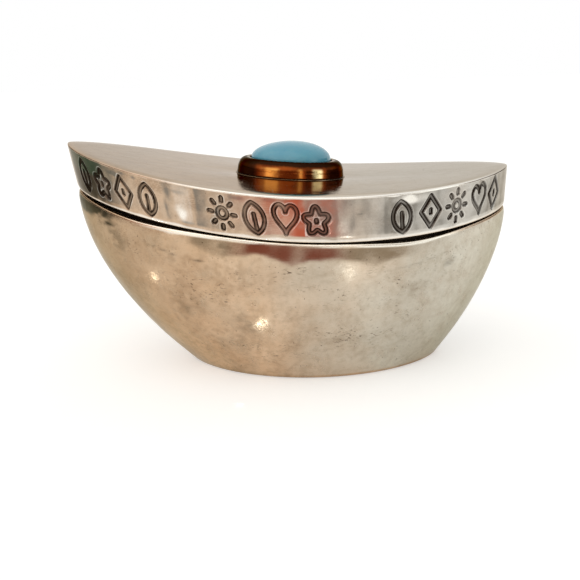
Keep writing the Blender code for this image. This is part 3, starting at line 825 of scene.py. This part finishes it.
lidShape = {
    "wall": 0.0025, "edgeRounding": 0.00045, "rimRounding": 0.0004, "innerRounding": 0.0010,
    "fineSpacing": 0.00018, "plainSpacing": 0.0006, "backSpacing": 0.0009, "coarseSpacing": 0.0010,
    "bandRows": 64, "topRows": 24, "innerRows": 10, "sink": 0.00011, "wave": 0.00007, "ripple": 0.00002,
    "topWave": 0.00003, "roll": 0.0042, "rollDrop": 0.00021, "footBevel": 0.0015, "footBevelDepth": 0.00022,
    # how far from a mark the columns are fine and where the marks' tones fade at the tips, in millimetres,
    # and the shade on the top at the left tip
    "fineReach": (4.2, 5.6), "tipFade": (0.5, 4.0), "tipShade": (-0.046, -0.022),
    # the top's first rows as shares of the way to the pad, how bright its edge is, and its own unevenness
    "edgeShare": 0.03, "topSteps": (0.05, 0.07, 0.09, 0.115, 0.14), "topGlow": 0.62,
    "fray": 0.0006, "frayGrain": (0.004, 19), "topGrain": (0.016, 33),
    # unevenness: size, seed and squeeze
    "grains": {"wave": (0.012, 5, 0.4), "ripple": (0.0035, 17), "patch": (0.004, 50),
               "wander": (0.007, 61, 0.6), "streaks": (0.009, 71, 4), "speckled": (0.0018, 91),
               "brushed": (0.0015, 97, 0.15), "nicks": (0.0026, 83, 0.3)},
    # along the lid in millimetres: how far the front's upper edge is rubbed bright and given a painted
    # highlight, and how bright
    "edgeGlow": [(-58, 1.2), (-32, 1.8), (-23, 6), (-14, 7), (-8, 3.6), (0, 3.2), (12, 4.2), (24, 3.4),
                 (40, 1.8), (58, 1.2)],
    "edgeShine": [(-58, 0.25), (-32, 0.35), (-20, 0.7), (-5, 1), (35, 1), (45, 0.7), (58, 0.4)],
}

knobPlace = {"x": 0.0007, "breadthShare": 0.84, "padRise": 0.0006, "bezelRadius": 0.01425,
             "seatClearance": 0.0003, "seatDepth": 0.00004, "screwRadius": 0.0015, "touchGap": 0.0003}


def padHeight(x):
    # The low flat pad under the bezel leans with the lid
    slope = -lidSaddle["lean"] / (lidPlan["length"] / 2)
    return lidTop(knobPlace["x"]) + knobPlace["padRise"] + slope * (x - knobPlace["x"])


def oval(turns, radius, breadthShare=knobPlace["breadthShare"]):
    return np.column_stack([knobPlace["x"] + radius * np.cos(turns), radius * breadthShare * np.sin(turns)])


def topRow(edge, padEdge, share, roll=0.0):
    # One row of the lid's top, which climbs from its edge, rolled off a little, to the pad at share one
    flat = edge + (padEdge - edge) * share
    rise = padHeight(padEdge[:, 0]) - lidTop(padEdge[:, 0])
    away = np.linalg.norm(flat - edge, axis=1)
    drop = roll * np.clip(1 - away / lidShape["roll"], 0, 1) ** 2
    return ring(flat, lidTop(flat[:, 0]) + rise * share ** 2 - drop)


def frontSpacing(along):
    plain, fine = lidShape["plainSpacing"], lidShape["fineSpacing"]
    spacing = np.full_like(along, plain)
    for _, place, _, _ in punches:
        near = 1 - smooth(np.abs(along / mm - place), *lidShape["fineReach"])
        spacing = np.minimum(spacing, plain + (fine - plain) * near)
    return spacing


def edgeShine(spots):
    return valueAt(lidShape["edgeShine"], spots[..., 0] / mm)


def bandMasks(wall, share, wander, front, hold, grains, punched):
    # How the band is stained, rubbed and filled with dirt, with painted shade, a painted red reflection and
    # painted highlights
    patch, streaks, speckled, brushed, nicks = grains
    dark, rubbed = punched
    inBand = smooth(share + patch * 0.03, 0.10, 0.17) * (1 - smooth(share - patch * 0.02, 0.93, 0.97))
    inFront = inBand * front
    tone = lambda name: valueAt(bandTones[name], wander)
    spots = lambda name: softSpots(bandSpots[name], wander, share, 0.5 * patch + 0.5 * speckled)
    shade = np.maximum(tone("shade") * (0.95 + 0.35 * streaks + 0.25 * speckled), spots("shade")) * inFront
    shade = np.maximum(shade, 0.40 * smooth(streaks, 0.15, 0.6) * inBand)
    smudge = tone("smudge") * (0.9 + 0.25 * speckled) * smooth(share, 0.02, 0.08) * front
    smudge = smudge * (1 - smooth(share - patch * 0.02, 0.93, 0.97))
    rim = 1 - smooth((1 - share) + patch * 0.04, 0.015, 0.075)
    touched = np.maximum(tone("worn"), spots("worn")) * inFront
    return {
        "worn": np.maximum.reduce([
            rim * (0.35 + 0.65 * smooth(nicks, -0.35, 0.25)) * edgeShine(wall),
            0.8 * (1 - smooth(share + patch * 0.03, 0.03, 0.13)) * (1 - 0.8 * smudge),
            rubbed * (0.42 + 0.35 * speckled) * hold,
            touched * (1 + 0.4 * brushed) + 0.14 * smooth(-brushed, 0.2, 0.8) * inFront]),
        "paintedRedReflection": tone("paintedRedReflection") * (0.85 + 0.35 * patch + 0.2 * speckled) * inFront,
        "smudge": smudge,
        "shade": shade * (1 + 0.3 * brushed) + 0.16 * smooth(brushed, 0.1, 0.7) * inFront,
        "moss": tone("smudge") * smooth(share + 0.05 * patch, 0.50, 0.72) * inFront,
        "groove": dark * np.clip(0.92 + 0.3 * patch + 0.2 * speckled, 0, 1),
        "cool": coolShare(wall[:, :, 0])}


def makeLid():
    shape = lidShape
    middlePlan = {key: (lidPlan[key] + seamPlan[key]) / 2 for key in lidPlan}
    fine = columnTurns(middlePlan, shape["backSpacing"], frontSpacing)
    top, seam = outline(fine, lidPlan), outline(fine, seamPlan)
    low, high = ring(seam, seamHeight(seam[:, 0])), ring(top, lidTop(top[:, 0]) - shape["rollDrop"])
    share = np.linspace(0, 1, shape["bandRows"] + 1)[:, None]
    wall = np.stack([low + (high - low) * s for s in share])
    normals = gridNormals(wall)
    wave, ripple, patch, wander, *grains = [lumpsOn(wall, *grain) for grain in shape["grains"].values()]
    isFront = fine >= math.pi
    start = np.flatnonzero(isFront)[0]
    along = np.zeros(len(fine))
    along[start:] = lengthAlong(((low + high) / 2)[start:])
    slant = np.linalg.norm(high - low, axis=1)
    up = (share - 0.5) * slant / mm
    far = np.where(isFront, along / mm, -99)
    depth, *punched = punchMarks(np.broadcast_to(far, up.shape), up)
    hold = smooth(share, 0, 0.08) * (1 - smooth(share, 0.92, 1))
    bevel = np.clip(1 - share * slant / shape["footBevel"], 0, 1) ** 1.4 * shape["footBevelDepth"]
    lumps = (wave * shape["wave"] + ripple * shape["ripple"]) * hold
    wall = wall + normals * (lumps - depth - bevel - shape["sink"])[:, :, None]
    wall[-3:, :, 2] -= shape["sink"]
    low, high = wall[0].copy(), wall[-1].copy()
    fromTip = np.minimum(along, along[-1] - along) / mm
    front = isFront * smooth(fromTip, *shape["tipFade"])
    masks = bandMasks(wall, share, far + wander * 0.9, front, hold, [patch, *grains], punched)
    cool = masks["cool"][-1]

    # The band with its rounded edges, in fine columns
    skin = Skin()
    coarse = columnTurns(middlePlan, shape["coarseSpacing"], shape["coarseSpacing"])
    seat = knobPlace["bezelRadius"] + knobPlace["seatClearance"]
    holdTop = topRow(top, oval(fine, seat), shape["edgeShare"], shape["rollDrop"]) - (0, 0, shape["sink"])
    innerSeam = insetOutline(fine, seamPlan, shape["wall"])
    holdLow = ring(seam + (innerSeam - seam) * 0.35, 0)
    holdLow[:, 2] = seamHeight(holdLow[:, 0])
    rows = [skin.add(holdLow, worn=0.3)]
    rows += skin.addAll(rounded(holdLow, low, wall[3], shape["rimRounding"], 4), worn=0.7, band=1)
    rows += skin.addRows(wall, range(3, len(wall) - 3), masks, band=1)
    corner = rounded(wall[-4], high, holdTop, shape["edgeRounding"], 4)
    rows += [skin.add(r, worn=edgeShine(r), band=1 - s, top=s, cool=cool)
             for s, r in zip(np.arange(5) / 4, corner)]
    rows.append(skin.add(holdTop, worn=shape["topGlow"] * edgeShine(holdTop), top=1, cool=cool))
    skin.strip(rows)

    # The top, down to the knob's seat and the screw hole
    topEdge, seatEdge = outline(coarse, lidPlan), oval(coarse, seat)
    topRows = []
    for climbed in [*shape["topSteps"], *np.linspace(0.17, 1, shape["topRows"])]:
        spots = topRow(topEdge, seatEdge, climbed, shape["rollDrop"]) - (0, 0, shape["sink"])
        away = np.linalg.norm((spots - ring(topEdge, 0))[:, :2], axis=1)
        away = away + unevenness(spots, *shape["frayGrain"]) * shape["fray"]
        wave = unevenness(spots, *shape["topGrain"]) * shape["topWave"]
        spots[:, 2] += wave * (1 - smooth(climbed, 0.9, 1))
        # The top's front edge: rubbed bright with a painted highlight
        glow = np.where(spots[:, 1] < 0, valueAt(shape["edgeGlow"], spots[:, 0] / mm), 1.8) * mm
        edgeWearAndHighlight = shape["topGlow"] * (1 - smooth(away, 0.35 * glow, glow)) * edgeShine(spots)
        tipShade = 0.35 * (1 - smooth(spots[:, 0], *shape["tipShade"]))
        topRows.append(skin.add(spots, worn=edgeWearAndHighlight, shade=tipShade, top=1, cool=coolShare(spots[:, 0])))
    skin.bridge(rows[-1], topRows[0])
    onPad = lambda spots, sunk: ring(spots, padHeight(spots[:, 0]) - sunk)
    hole = knobPlace["screwRadius"] + knobPlace["touchGap"]
    holeEdge = oval(np.linspace(0, 2 * math.pi, 48, endpoint=False), hole, 1)
    seatRings = [onPad(spots, knobPlace["seatDepth"]) for spots in (seatEdge, oval(coarse, seat * 0.8))]
    topRows += skin.addAll(seatRings, inside=1)
    skin.strip(topRows)
    holeRows = [skin.add(onPad(holeEdge, knobPlace["seatDepth"]), inside=1)]
    skin.bridge(topRows[-1], holeRows[0])

    # The hollow underside
    innerTop, innerLow = [insetOutline(coarse, plan, shape["wall"]) for plan in (lidPlan, seamPlan)]
    ceiling = lambda climbed: topRow(innerTop, seatEdge, climbed) - (0, 0, shape["wall"])
    holeRows.append(skin.add(onPad(holeEdge, shape["wall"]), inside=1))
    skin.strip(holeRows)
    rings = [onPad(oval(coarse, radius), shape["wall"]) for radius in (0.008, 0.8 * seat)]
    rings += [ceiling(climbed) for climbed in np.linspace(1, 0.08, shape["innerRows"])]
    corner = ceiling(0)
    foot = ring(innerLow, seamHeight(innerLow[:, 0]))
    sideRings = [corner + (foot - corner) * s for s in np.linspace(0.2, 0.9, 6)]
    rings += rounded(rings[-1], corner, sideRings[0], shape["innerRounding"], 4) + sideRings
    innerRows = skin.addAll(rings, inside=1)
    skin.bridge(holeRows[-1], innerRows[0])
    seamEdge = outline(coarse, seamPlan)
    seamMid = ring(seamEdge + (innerLow - seamEdge) * 0.5, 0)
    seamMid[:, 2] = seamHeight(seamMid[:, 0])
    innerRows += skin.addAll(rounded(sideRings[-1], foot, seamMid, shape["rimRounding"], 3), inside=0.5)
    innerRows.append(skin.add(seamMid, inside=0.3))
    skin.strip(innerRows)
    skin.bridge(innerRows[-1], rows[0])

    lid = skin.build("castLid")
    lid.data.materials.append(castMetal("castLidMetal", lidLook))
    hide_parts("lid")
    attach(lid, "lid")


makeLid()
print("lid made")

# collar strip under the lid

# The collar is coloured near black so that the open seam reads dark: painted shade
collarLook = {"cloudSize": 5.0, "contrast": 1.0, "fine": 0.7, "main": tone(52, 45, 38),
              "warm": tone(52, 45, 38), "grey": tone(28, 24, 20), "smoothest": 0.5, "roughest": 0.6,
              "lineSpacing": 0.35, "lineLength": 6.0, "lineDepth": 0.03}
collarShape = {"spacing": 0.0009, "thickness": 0.0014, "clearance": 0.0005, "drop": 0.0040, "riseShare": 0.5,
               "edge": 0.0003}


def levelThroughBand(turns):
    foot, edge = outline(turns, seamPlan), outline(turns, lidPlan)
    height = lidTop(edge[:, 0]) - seamHeight(foot[:, 0])
    lean = np.linalg.norm(edge - foot, axis=1)
    return np.max((lidShape["wall"] + knobPlace["touchGap"]) * np.hypot(height, lean) / height)


def makeCollar():
    shape = collarShape
    turns = columnTurns(seamPlan, shape["spacing"], shape["spacing"])
    inset = max(bodyShape["wall"] + shape["clearance"], levelThroughBand(turns))
    outer = insetOutline(turns, seamPlan, inset)
    inner = insetOutline(turns, seamPlan, inset + shape["thickness"])

    def heights(spots):
        low = seamHeight(spots[:, 0])
        depth = lidTop(spots[:, 0]) - lidShape["wall"] - knobPlace["touchGap"] - low
        return low - shape["drop"], low + depth * shape["riseShare"]

    outLow, outHigh = [ring(outer, h) for h in heights(outer)]
    inLow, inHigh = [ring(inner, h) for h in heights(inner)]
    corners = [outLow, outHigh, inHigh, inLow]
    skin = Skin()
    rings = []
    for before, corner, after in zip(corners[-1:] + corners, corners, corners[1:] + corners[:1]):
        rings += skin.addAll(rounded(before, corner, after, shape["edge"], 3))
    skin.strip(rings + rings[:1])
    collar = skin.build("collarStrip")
    collar.data.materials.append(plainMetal("collarMetal", collarLook))
    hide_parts("lid_collar")
    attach(collar, "lid")


makeCollar()
print("collar made")

# the knob, an oval turned about its own leaning axis with zero at the pad's surface

knobAxis = Matrix.Translation((knobPlace["x"], 0, float(padHeight(knobPlace["x"])))) @ Matrix.Rotation(
    math.atan2(lidSaddle["lean"], lidPlan["length"] / 2), 4, "Y")

bezel = {"radius": 0.01425, "taper": 0.00015, "foot": 0.0001, "top": 0.0042, "floor": 0.0021,
         "shoulderIn": 0.0021, "shoulderDown": 0.0029, "footEdge": 0.0002, "pocket": 0.0109, "lip": 0.0003,
         "bore": 0.00214, "columns": 240, "edgeTint": (0.50, 0.45, 0.38, 1),
         "cloudSize": 4.0, "contrast": 0.8, "fine": 0.3, "main": tone(124, 56, 20), "warm": tone(96, 36, 11),
         "grey": tone(144, 82, 33), "smoothest": 0.09, "roughest": 0.16, "lineSpacing": 0.12,
         "lineLength": 3.0, "lineDepth": 0.006, "lumpScale": 0.7, "lumps": 0.05, "raggedScale": 0.5,
         "ragged": 0.5, "tarnishDull": 0.14, "goldHighlight": tone(206, 140, 68), "paleHighlight": tone(232, 214, 164),
         "darkReflection": tone(42, 19, 9), "dark": tone(34, 19, 11), "ringTopReflection": tone(196, 192, 176),
         # round the side, in degrees from the front to the right: where the painted gold highlight, pale
         # highlight and dark reflection lie
         "goldHighlightAt": [(-180, 0.5), (-120, 0.4), (-90, 0), (-44, 0), (-38, 0.1), (-28, 0.4), (-24, 0.9),
                    (-19, 1), (-14, 0.8), (-10, 0.25), (-4, 0.1), (4, 0.15), (8, 0.3), (10.5, 0.8),
                    (12.5, 0.6), (15, 0.1), (22, 0.1), (27, 0.6), (31, 0.9), (35, 0.6), (40, 0.1), (90, 0),
                    (130, 0.4), (180, 0.5)],
         "paleHighlightAt": [(-180, 0), (22, 0), (27, 0.8), (34, 0.8), (39, 0), (180, 0)],
         "darkReflectionAt": [(-180, 0), (-110, 0.2), (-95, 0.6), (-50, 1), (-43, 0.9), (-37, 0.4), (-30, 0), (14, 0),
                    (18, 0.5), (22, 0.5), (25, 0), (38, 0), (43, 0.6), (95, 0.5), (115, 0.2), (180, 0)]}

dome = {"radius": 0.0106, "height": 0.0046, "foot": 0.0032, "edge": 0.0003, "columns": 160,
        "fuller": 0.045, "cloudSize": 9.0, "contrast": 0.5, "fine": 0.4, "main": tone(86, 154, 173),
        "warm": tone(72, 140, 167), "grey": tone(118, 168, 174), "smoothest": 0.05, "roughest": 0.11,
        "lumpScale": 0.35, "lumps": 0.05}


def turnProfile(name, profile, columns, closed, masks=None, roundMasks=None, bulge=None):
    # profile: radius and height pairs, up the outer side for an open one that starts and ends on the axis
    turns = np.linspace(0, 2 * math.pi, columns, endpoint=False)
    azimuth = np.degrees(np.arctan2(np.cos(turns), -np.sin(turns)))
    around = {key: np.interp(azimuth, *zip(*stops)) for key, stops in (roundMasks or {}).items()}
    skin = Skin()
    rings = []
    for index, (radius, height) in enumerate(profile):
        across = radius * knobPlace["breadthShare"] * np.sin(turns)
        spots = np.column_stack([radius * np.cos(turns), across, np.full(columns, height)])
        if bulge:
            spots[:, 2] += bulge(spots)
        placed = spots @ np.array(knobAxis.to_3x3()).T + np.array(knobAxis.translation)
        mask = {key: values[index] for key, values in (masks or {}).items()}
        rings.append(skin.add(placed, **mask, **around))
    skin.strip(rings + rings[:1] if closed else rings)
    if not closed:
        skin.cap(rings[0], flip=True)
        skin.cap(rings[-1])
    return skin.build(name, 40)


def brassMaterial():
    made, nodes, shader, place = newMaterial("agedBrass")
    colour, roughness = cloudy(nodes, place, bezel)
    tarnishShadeAndReflection = maskOf(nodes, "tarnishShadeAndReflection")
    ragged = (nodes.noise(place, bezel["raggedScale"], 4.0, 0.6) - 0.5) * bezel["ragged"]
    # Tarnish, painted shade at the foot and a painted dark reflection on the shoulder darken the brass
    amount = nodes.ramp(tarnishShadeAndReflection + ragged, 0.20, 0.70, 0.0, 0.96)
    rubbed = nodes.ramp(tarnishShadeAndReflection, 0.02, 0.40, 1.0, 0.0)
    # Painted gold and pale highlights and a painted dark reflection round the side
    for mask, reach in (("goldHighlight", rubbed), ("paleHighlight", rubbed), ("darkReflection", 1.0)):
        share = nodes.ramp(maskOf(nodes, mask) + ragged * 0.5, 0.1, 0.9, 0.0, 0.95) * reach
        colour = nodes.blend(share, colour, bezel[mask])
    colour = nodes.blend(amount, colour, bezel["dark"])
    # The ring's flat top is painted light grey: a painted reflection of the glass and sky
    colour = nodes.blend(maskOf(nodes, "topReflection"), colour, bezel["ringTopReflection"])
    shader.inputs["Specular Tint"].default_value = bezel["edgeTint"]
    height = rubbedLines(nodes, place, bezel) * bezel["lineDepth"] + lumpy(nodes, place, bezel)
    finish(nodes, shader, colour, roughness + amount * bezel["tarnishDull"], height)
    return made


def makeBezel():
    b = bezel
    edge, lip, shoulder = b["footEdge"], b["lip"], b["radius"] - b["taper"] - b["shoulderIn"]
    wallFoot, wallTop = b["foot"] + edge, b["top"] - b["shoulderDown"]
    # From the bore round the outside to the pocket, and how dark each point is: tarnish, with painted shade
    # at the foot and a painted dark reflection on the shoulder
    profile = [(b["bore"], b["floor"]), (b["bore"], b["foot"]), (b["radius"] * 0.6, b["foot"])]
    profile += arcPoints(b["radius"] - edge, wallFoot, edge, edge, -90, 0, 4)
    masks = [1, 1, 1, 1, 0.8, 0.5, 0.3, 0.2]
    for share in np.linspace(0.1, 0.9, 5):
        profile.append((b["radius"] - b["taper"] * share, wallFoot + (wallTop - wallFoot) * share))
        masks.append(0.2 * (1 - smooth(share, 0.0, 0.3)))
    profile += arcPoints(shoulder, wallTop, b["shoulderIn"], b["shoulderDown"], 0, 90, 20)
    masks += list(smooth(np.linspace(0, 1, 21), 0.10, 0.75))
    flatEnd = b["pocket"] + lip
    profile.append((flatEnd + (shoulder - flatEnd) * 0.5, b["top"]))
    profile += arcPoints(flatEnd, b["top"] - lip, lip, lip, 90, 180, 4)
    profile += [(b["pocket"], b["top"] - 0.001), (b["pocket"], b["floor"]), (b["pocket"] * 0.6, b["floor"])]
    masks += [0.2, 0.2, 0.3, 0.6, 1, 1, 1, 1, 1]
    topReflection = [0.8 if mask == 0.2 and height > b["top"] - lip else 0
            for mask, (_, height) in zip(masks, profile)]
    piece = turnProfile("brassBezel", profile, b["columns"], True, {"tarnishShadeAndReflection": masks, "topReflection": topReflection},
                        {"goldHighlight": b["goldHighlightAt"], "paleHighlight": b["paleHighlightAt"], "darkReflection": b["darkReflectionAt"]})
    piece.data.materials.append(brassMaterial())
    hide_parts("knob_bezel")
    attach(piece, "lid")


def glassMaterial():
    made, nodes, shader, place = newMaterial("turquoiseGlass")
    for name, value in (("IOR", 1.5), ("Subsurface Weight", 0.25), ("Subsurface Radius", (0.4, 0.9, 1.0)),
                        ("Subsurface Scale", 0.002)):
        shader.inputs[name].default_value = value
    finish(nodes, shader, *cloudy(nodes, place, dome), lumpy(nodes, place, dome), metallic=0.0)
    return made


def makeDome():
    d = dome
    r = d["radius"]
    profile = [(r * 0.5, d["foot"]), (r * 0.9, d["foot"])]
    profile += arcPoints(r - d["edge"], d["foot"] + d["edge"], d["edge"], d["edge"], -90, 0, 4)
    profile += arcPoints(0, bezel["top"], r, d["height"], 0, 89, 40)

    def fuller(spots):
        # The glass stands a little fuller on its right
        return d["fuller"] * spots[:, 0] * np.clip((spots[:, 2] - bezel["top"]) / d["height"], 0, 1)

    piece = turnProfile("glassDome", profile, d["columns"], False, bulge=fuller)
    piece.data.materials.append(glassMaterial())
    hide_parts("glass_cabochon")
    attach(piece, "lid")


makeBezel()
makeDome()
print("knob made")

# plain pieces kept from the CAD

steelFinish = {"cloudSize": 2.5, "contrast": 1.0, "fine": 0.6, "lineSpacing": 0.10, "lineLength": 2.0,
               "lineDepth": 0.01}
steelLook = {
    "knob_washer": {"main": tone(186, 186, 184), "grey": tone(150, 148, 144), "smoothest": 0.30,
                    "slot": "washer_steel"},
    "knob_screw": {"main": tone(176, 176, 176), "grey": tone(136, 134, 130), "smoothest": 0.34,
                   "slot": "screw_steel"},
    "cabochon_backing": {"main": tone(214, 220, 222), "grey": tone(186, 194, 198), "smoothest": 0.40,
                         "slot": "backing_foil"},
}


def finishSteel():
    for node, look in steelLook.items():
        full = {**steelFinish, **look, "warm": look["main"], "roughest": look["smoothest"] + 0.1}
        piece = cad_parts[node]
        piece.data.materials.clear()
        piece.data.materials.append(plainMetal(node + "Metal", full))


finishSteel()
print("steel finished")

# floor, lamps and surroundings

studio = {"floorSize": 6.0, "floorHeight": -0.0001, "floor": tone(226, 225, 222),
          "floorFibre": tone(222, 221, 218), "floorGlow": 0.40, "sky": (0.75, 0.745, 0.73, 1),
          "key": {"from": (-0.45, -0.55, 0.85), "strength": 0.9, "angle": 90, "colour": (1.0, 0.98, 0.94)}}

# A low dark screen round the front with warm openings, which only the metal mirrors: its colour at each turn
# from the front to the right, in degrees as seen from the knob
screen = {
    "distance": 0.12, "middleHeight": 0.055, "heights": [-3, 0, 3, 6, 8, 10, 12, 14], "fadeFrom": 7,
    "turning": [
        (-126, (1.0, 1.0, 1.0)), (-116, (0.10, 0.08, 0.07)), (-84, (0.10, 0.08, 0.07)),
        (-72, (0.25, 0.12, 0.08)), (-58, (0.80, 0.45, 0.30)), (-46, (1.3, 1.0, 0.8)),
        (-38, (1.6, 1.4, 1.2)), (-30, (1.0, 0.8, 0.6)), (-22, (0.50, 0.32, 0.24)),
        (0, (0.40, 0.26, 0.20)), (16, (0.50, 0.34, 0.26)), (21, (1.4, 1.2, 1.0)),
        (26, (1.1, 0.9, 0.7)), (31, (0.22, 0.16, 0.12)), (46, (0.22, 0.18, 0.15)),
        (54, (1.3, 1.3, 1.2)), (62, (1.7, 1.8, 1.8)), (70, (1.2, 1.2, 1.1)),
        (78, (0.30, 0.24, 0.20)), (90, (0.16, 0.12, 0.10)), (116, (0.14, 0.10, 0.08)),
        (126, (1.0, 1.0, 1.0)),
    ],
}

# Small bright spots low in front of the box, mirrored in its side: place on the floor, radius and strength
glints = {"height": 0.0003, "corners": 24, "colour": (0.90, 1.0, 1.05), "spots": [
    (-0.0720, -0.0275, 0.0018, 18), (-0.0123, -0.0385, 0.0009, 26), (0.0346, -0.0868, 0.0036, 7)]}


def makeFloor():
    half = studio["floorSize"] / 2
    mesh = bpy.data.meshes.new("floor")
    corners = [(x * half, y * half, studio["floorHeight"]) for x, y in ((-1, -1), (1, -1), (1, 1), (-1, 1))]
    mesh.from_pydata(corners, [], [(0, 1, 2, 3)])
    floor = stand("floor", mesh)
    made, nodes, shader, place = newMaterial("paperFloor")
    fibre = nodes.noise(place, 0.02, 3.0)
    nodes.feed(shader, "Base Color", nodes.blend(fibre, studio["floor"], studio["floorFibre"]))
    shader.inputs["Roughness"].default_value = 0.9
    shader.inputs["Specular IOR Level"].default_value = 0.1
    glow = nodes.add("ShaderNodeEmission", Color=(1, 1, 1, 1), Strength=seenRays(nodes) * studio["floorGlow"])
    both = nodes.add("ShaderNodeAddShader", i0=shader.outputs[0], i1=glow.outputs[0])
    nodes.feed(made.node_tree.nodes["Material Output"], "Surface", both.outputs[0])
    mesh.materials.append(made)


def seenRays(nodes):
    # The eye, the metal and the glass see a white room; what lights the object is plainer
    paths = nodes.add("ShaderNodeLightPath").outputs
    seen = nodes.math("MAXIMUM", paths["Is Camera Ray"], paths["Is Transmission Ray"])
    return nodes.math("MAXIMUM", seen, paths["Is Glossy Ray"])


def makeScreen():
    middle = np.array([knobPlace["x"], 0, screen["middleHeight"]])
    turns = np.arange(-126, 127, 1.5)
    around, columns = np.radians(turns), len(turns)
    stops, tones = zip(*screen["turning"])
    low = np.column_stack([np.interp(turns, stops, channel) for channel in zip(*tones)])
    points, colours = [], []
    for height in screen["heights"]:
        faded = smooth(height, screen["fadeFrom"], screen["heights"][-1])
        colours.append(low + (1 - low) * faded)
        flat, level = [screen["distance"] * way(math.radians(height)) for way in (math.cos, math.sin)]
        points.append(middle + ring(np.column_stack([flat * np.sin(around), -flat * np.cos(around)]), level))
    faces = [(first, first + 1, first + columns + 1, first + columns)
             for row in range(len(points) - 1) for first in range(row * columns, (row + 1) * columns - 1)]
    piece, nodes, glow = showInMetal("screen", np.concatenate(points).tolist(), faces, (1, 1, 1), 1.0)
    layer = piece.data.attributes.new("glow", "FLOAT_COLOR", "POINT")
    colours = np.column_stack([np.concatenate(colours), np.ones(columns * len(points))])
    layer.data.foreach_set("color", colours.ravel())
    nodes.feed(glow, "Color", nodes.add("ShaderNodeAttribute", {"attribute_name": "glow"}).outputs["Color"])


def makeGlints():
    corners = glints["corners"]
    turns = np.linspace(0, 2 * math.pi, corners, endpoint=False)
    for number, (x, y, radius, strength) in enumerate(glints["spots"]):
        points = [(x + radius * math.cos(a), y + radius * math.sin(a), glints["height"]) for a in turns]
        showInMetal("glint%d" % number, points, [tuple(range(corners))], glints["colour"], strength)


def showInMetal(name, points, faces, colour, strength):
    mesh = bpy.data.meshes.new(name)
    mesh.from_pydata(points, [], faces)
    card = stand(name, mesh)
    made = bpy.data.materials.new(name)
    made.use_nodes = True
    nodes = Nodes(made.node_tree)
    glow = nodes.add("ShaderNodeEmission", Color=(*colour, 1), Strength=float(strength))
    nodes.feed(made.node_tree.nodes["Material Output"], "Surface", glow.outputs[0])
    mesh.materials.append(made)
    card.visible_camera = card.visible_diffuse = card.visible_transmission = False
    card.visible_shadow = card.visible_volume_scatter = False
    return card, nodes, glow


def makeLamps():
    key = studio["key"]
    lamp = bpy.data.lights.new("softWindow", "SUN")
    lamp.energy = key["strength"]
    lamp.angle = math.radians(key["angle"])
    lamp.color = key["colour"]
    holder = stand("softWindow", lamp)
    holder.location = key["from"]
    holder.rotation_euler = (-Vector(key["from"])).to_track_quat("-Z", "Y").to_euler()


def makeSurroundings():
    world = bpy.data.worlds.new("studio")
    bpy.context.scene.world = world
    world.use_nodes = True
    nodes = Nodes(world.node_tree)
    background = world.node_tree.nodes["Background"]
    nodes.feed(background, "Color", nodes.blend(seenRays(nodes), studio["sky"], (1, 1, 1, 1)))


makeFloor()
makeScreen()
makeGlints()
makeLamps()
makeSurroundings()
bpy.context.scene.view_settings.view_transform = "Standard"
print("studio made")
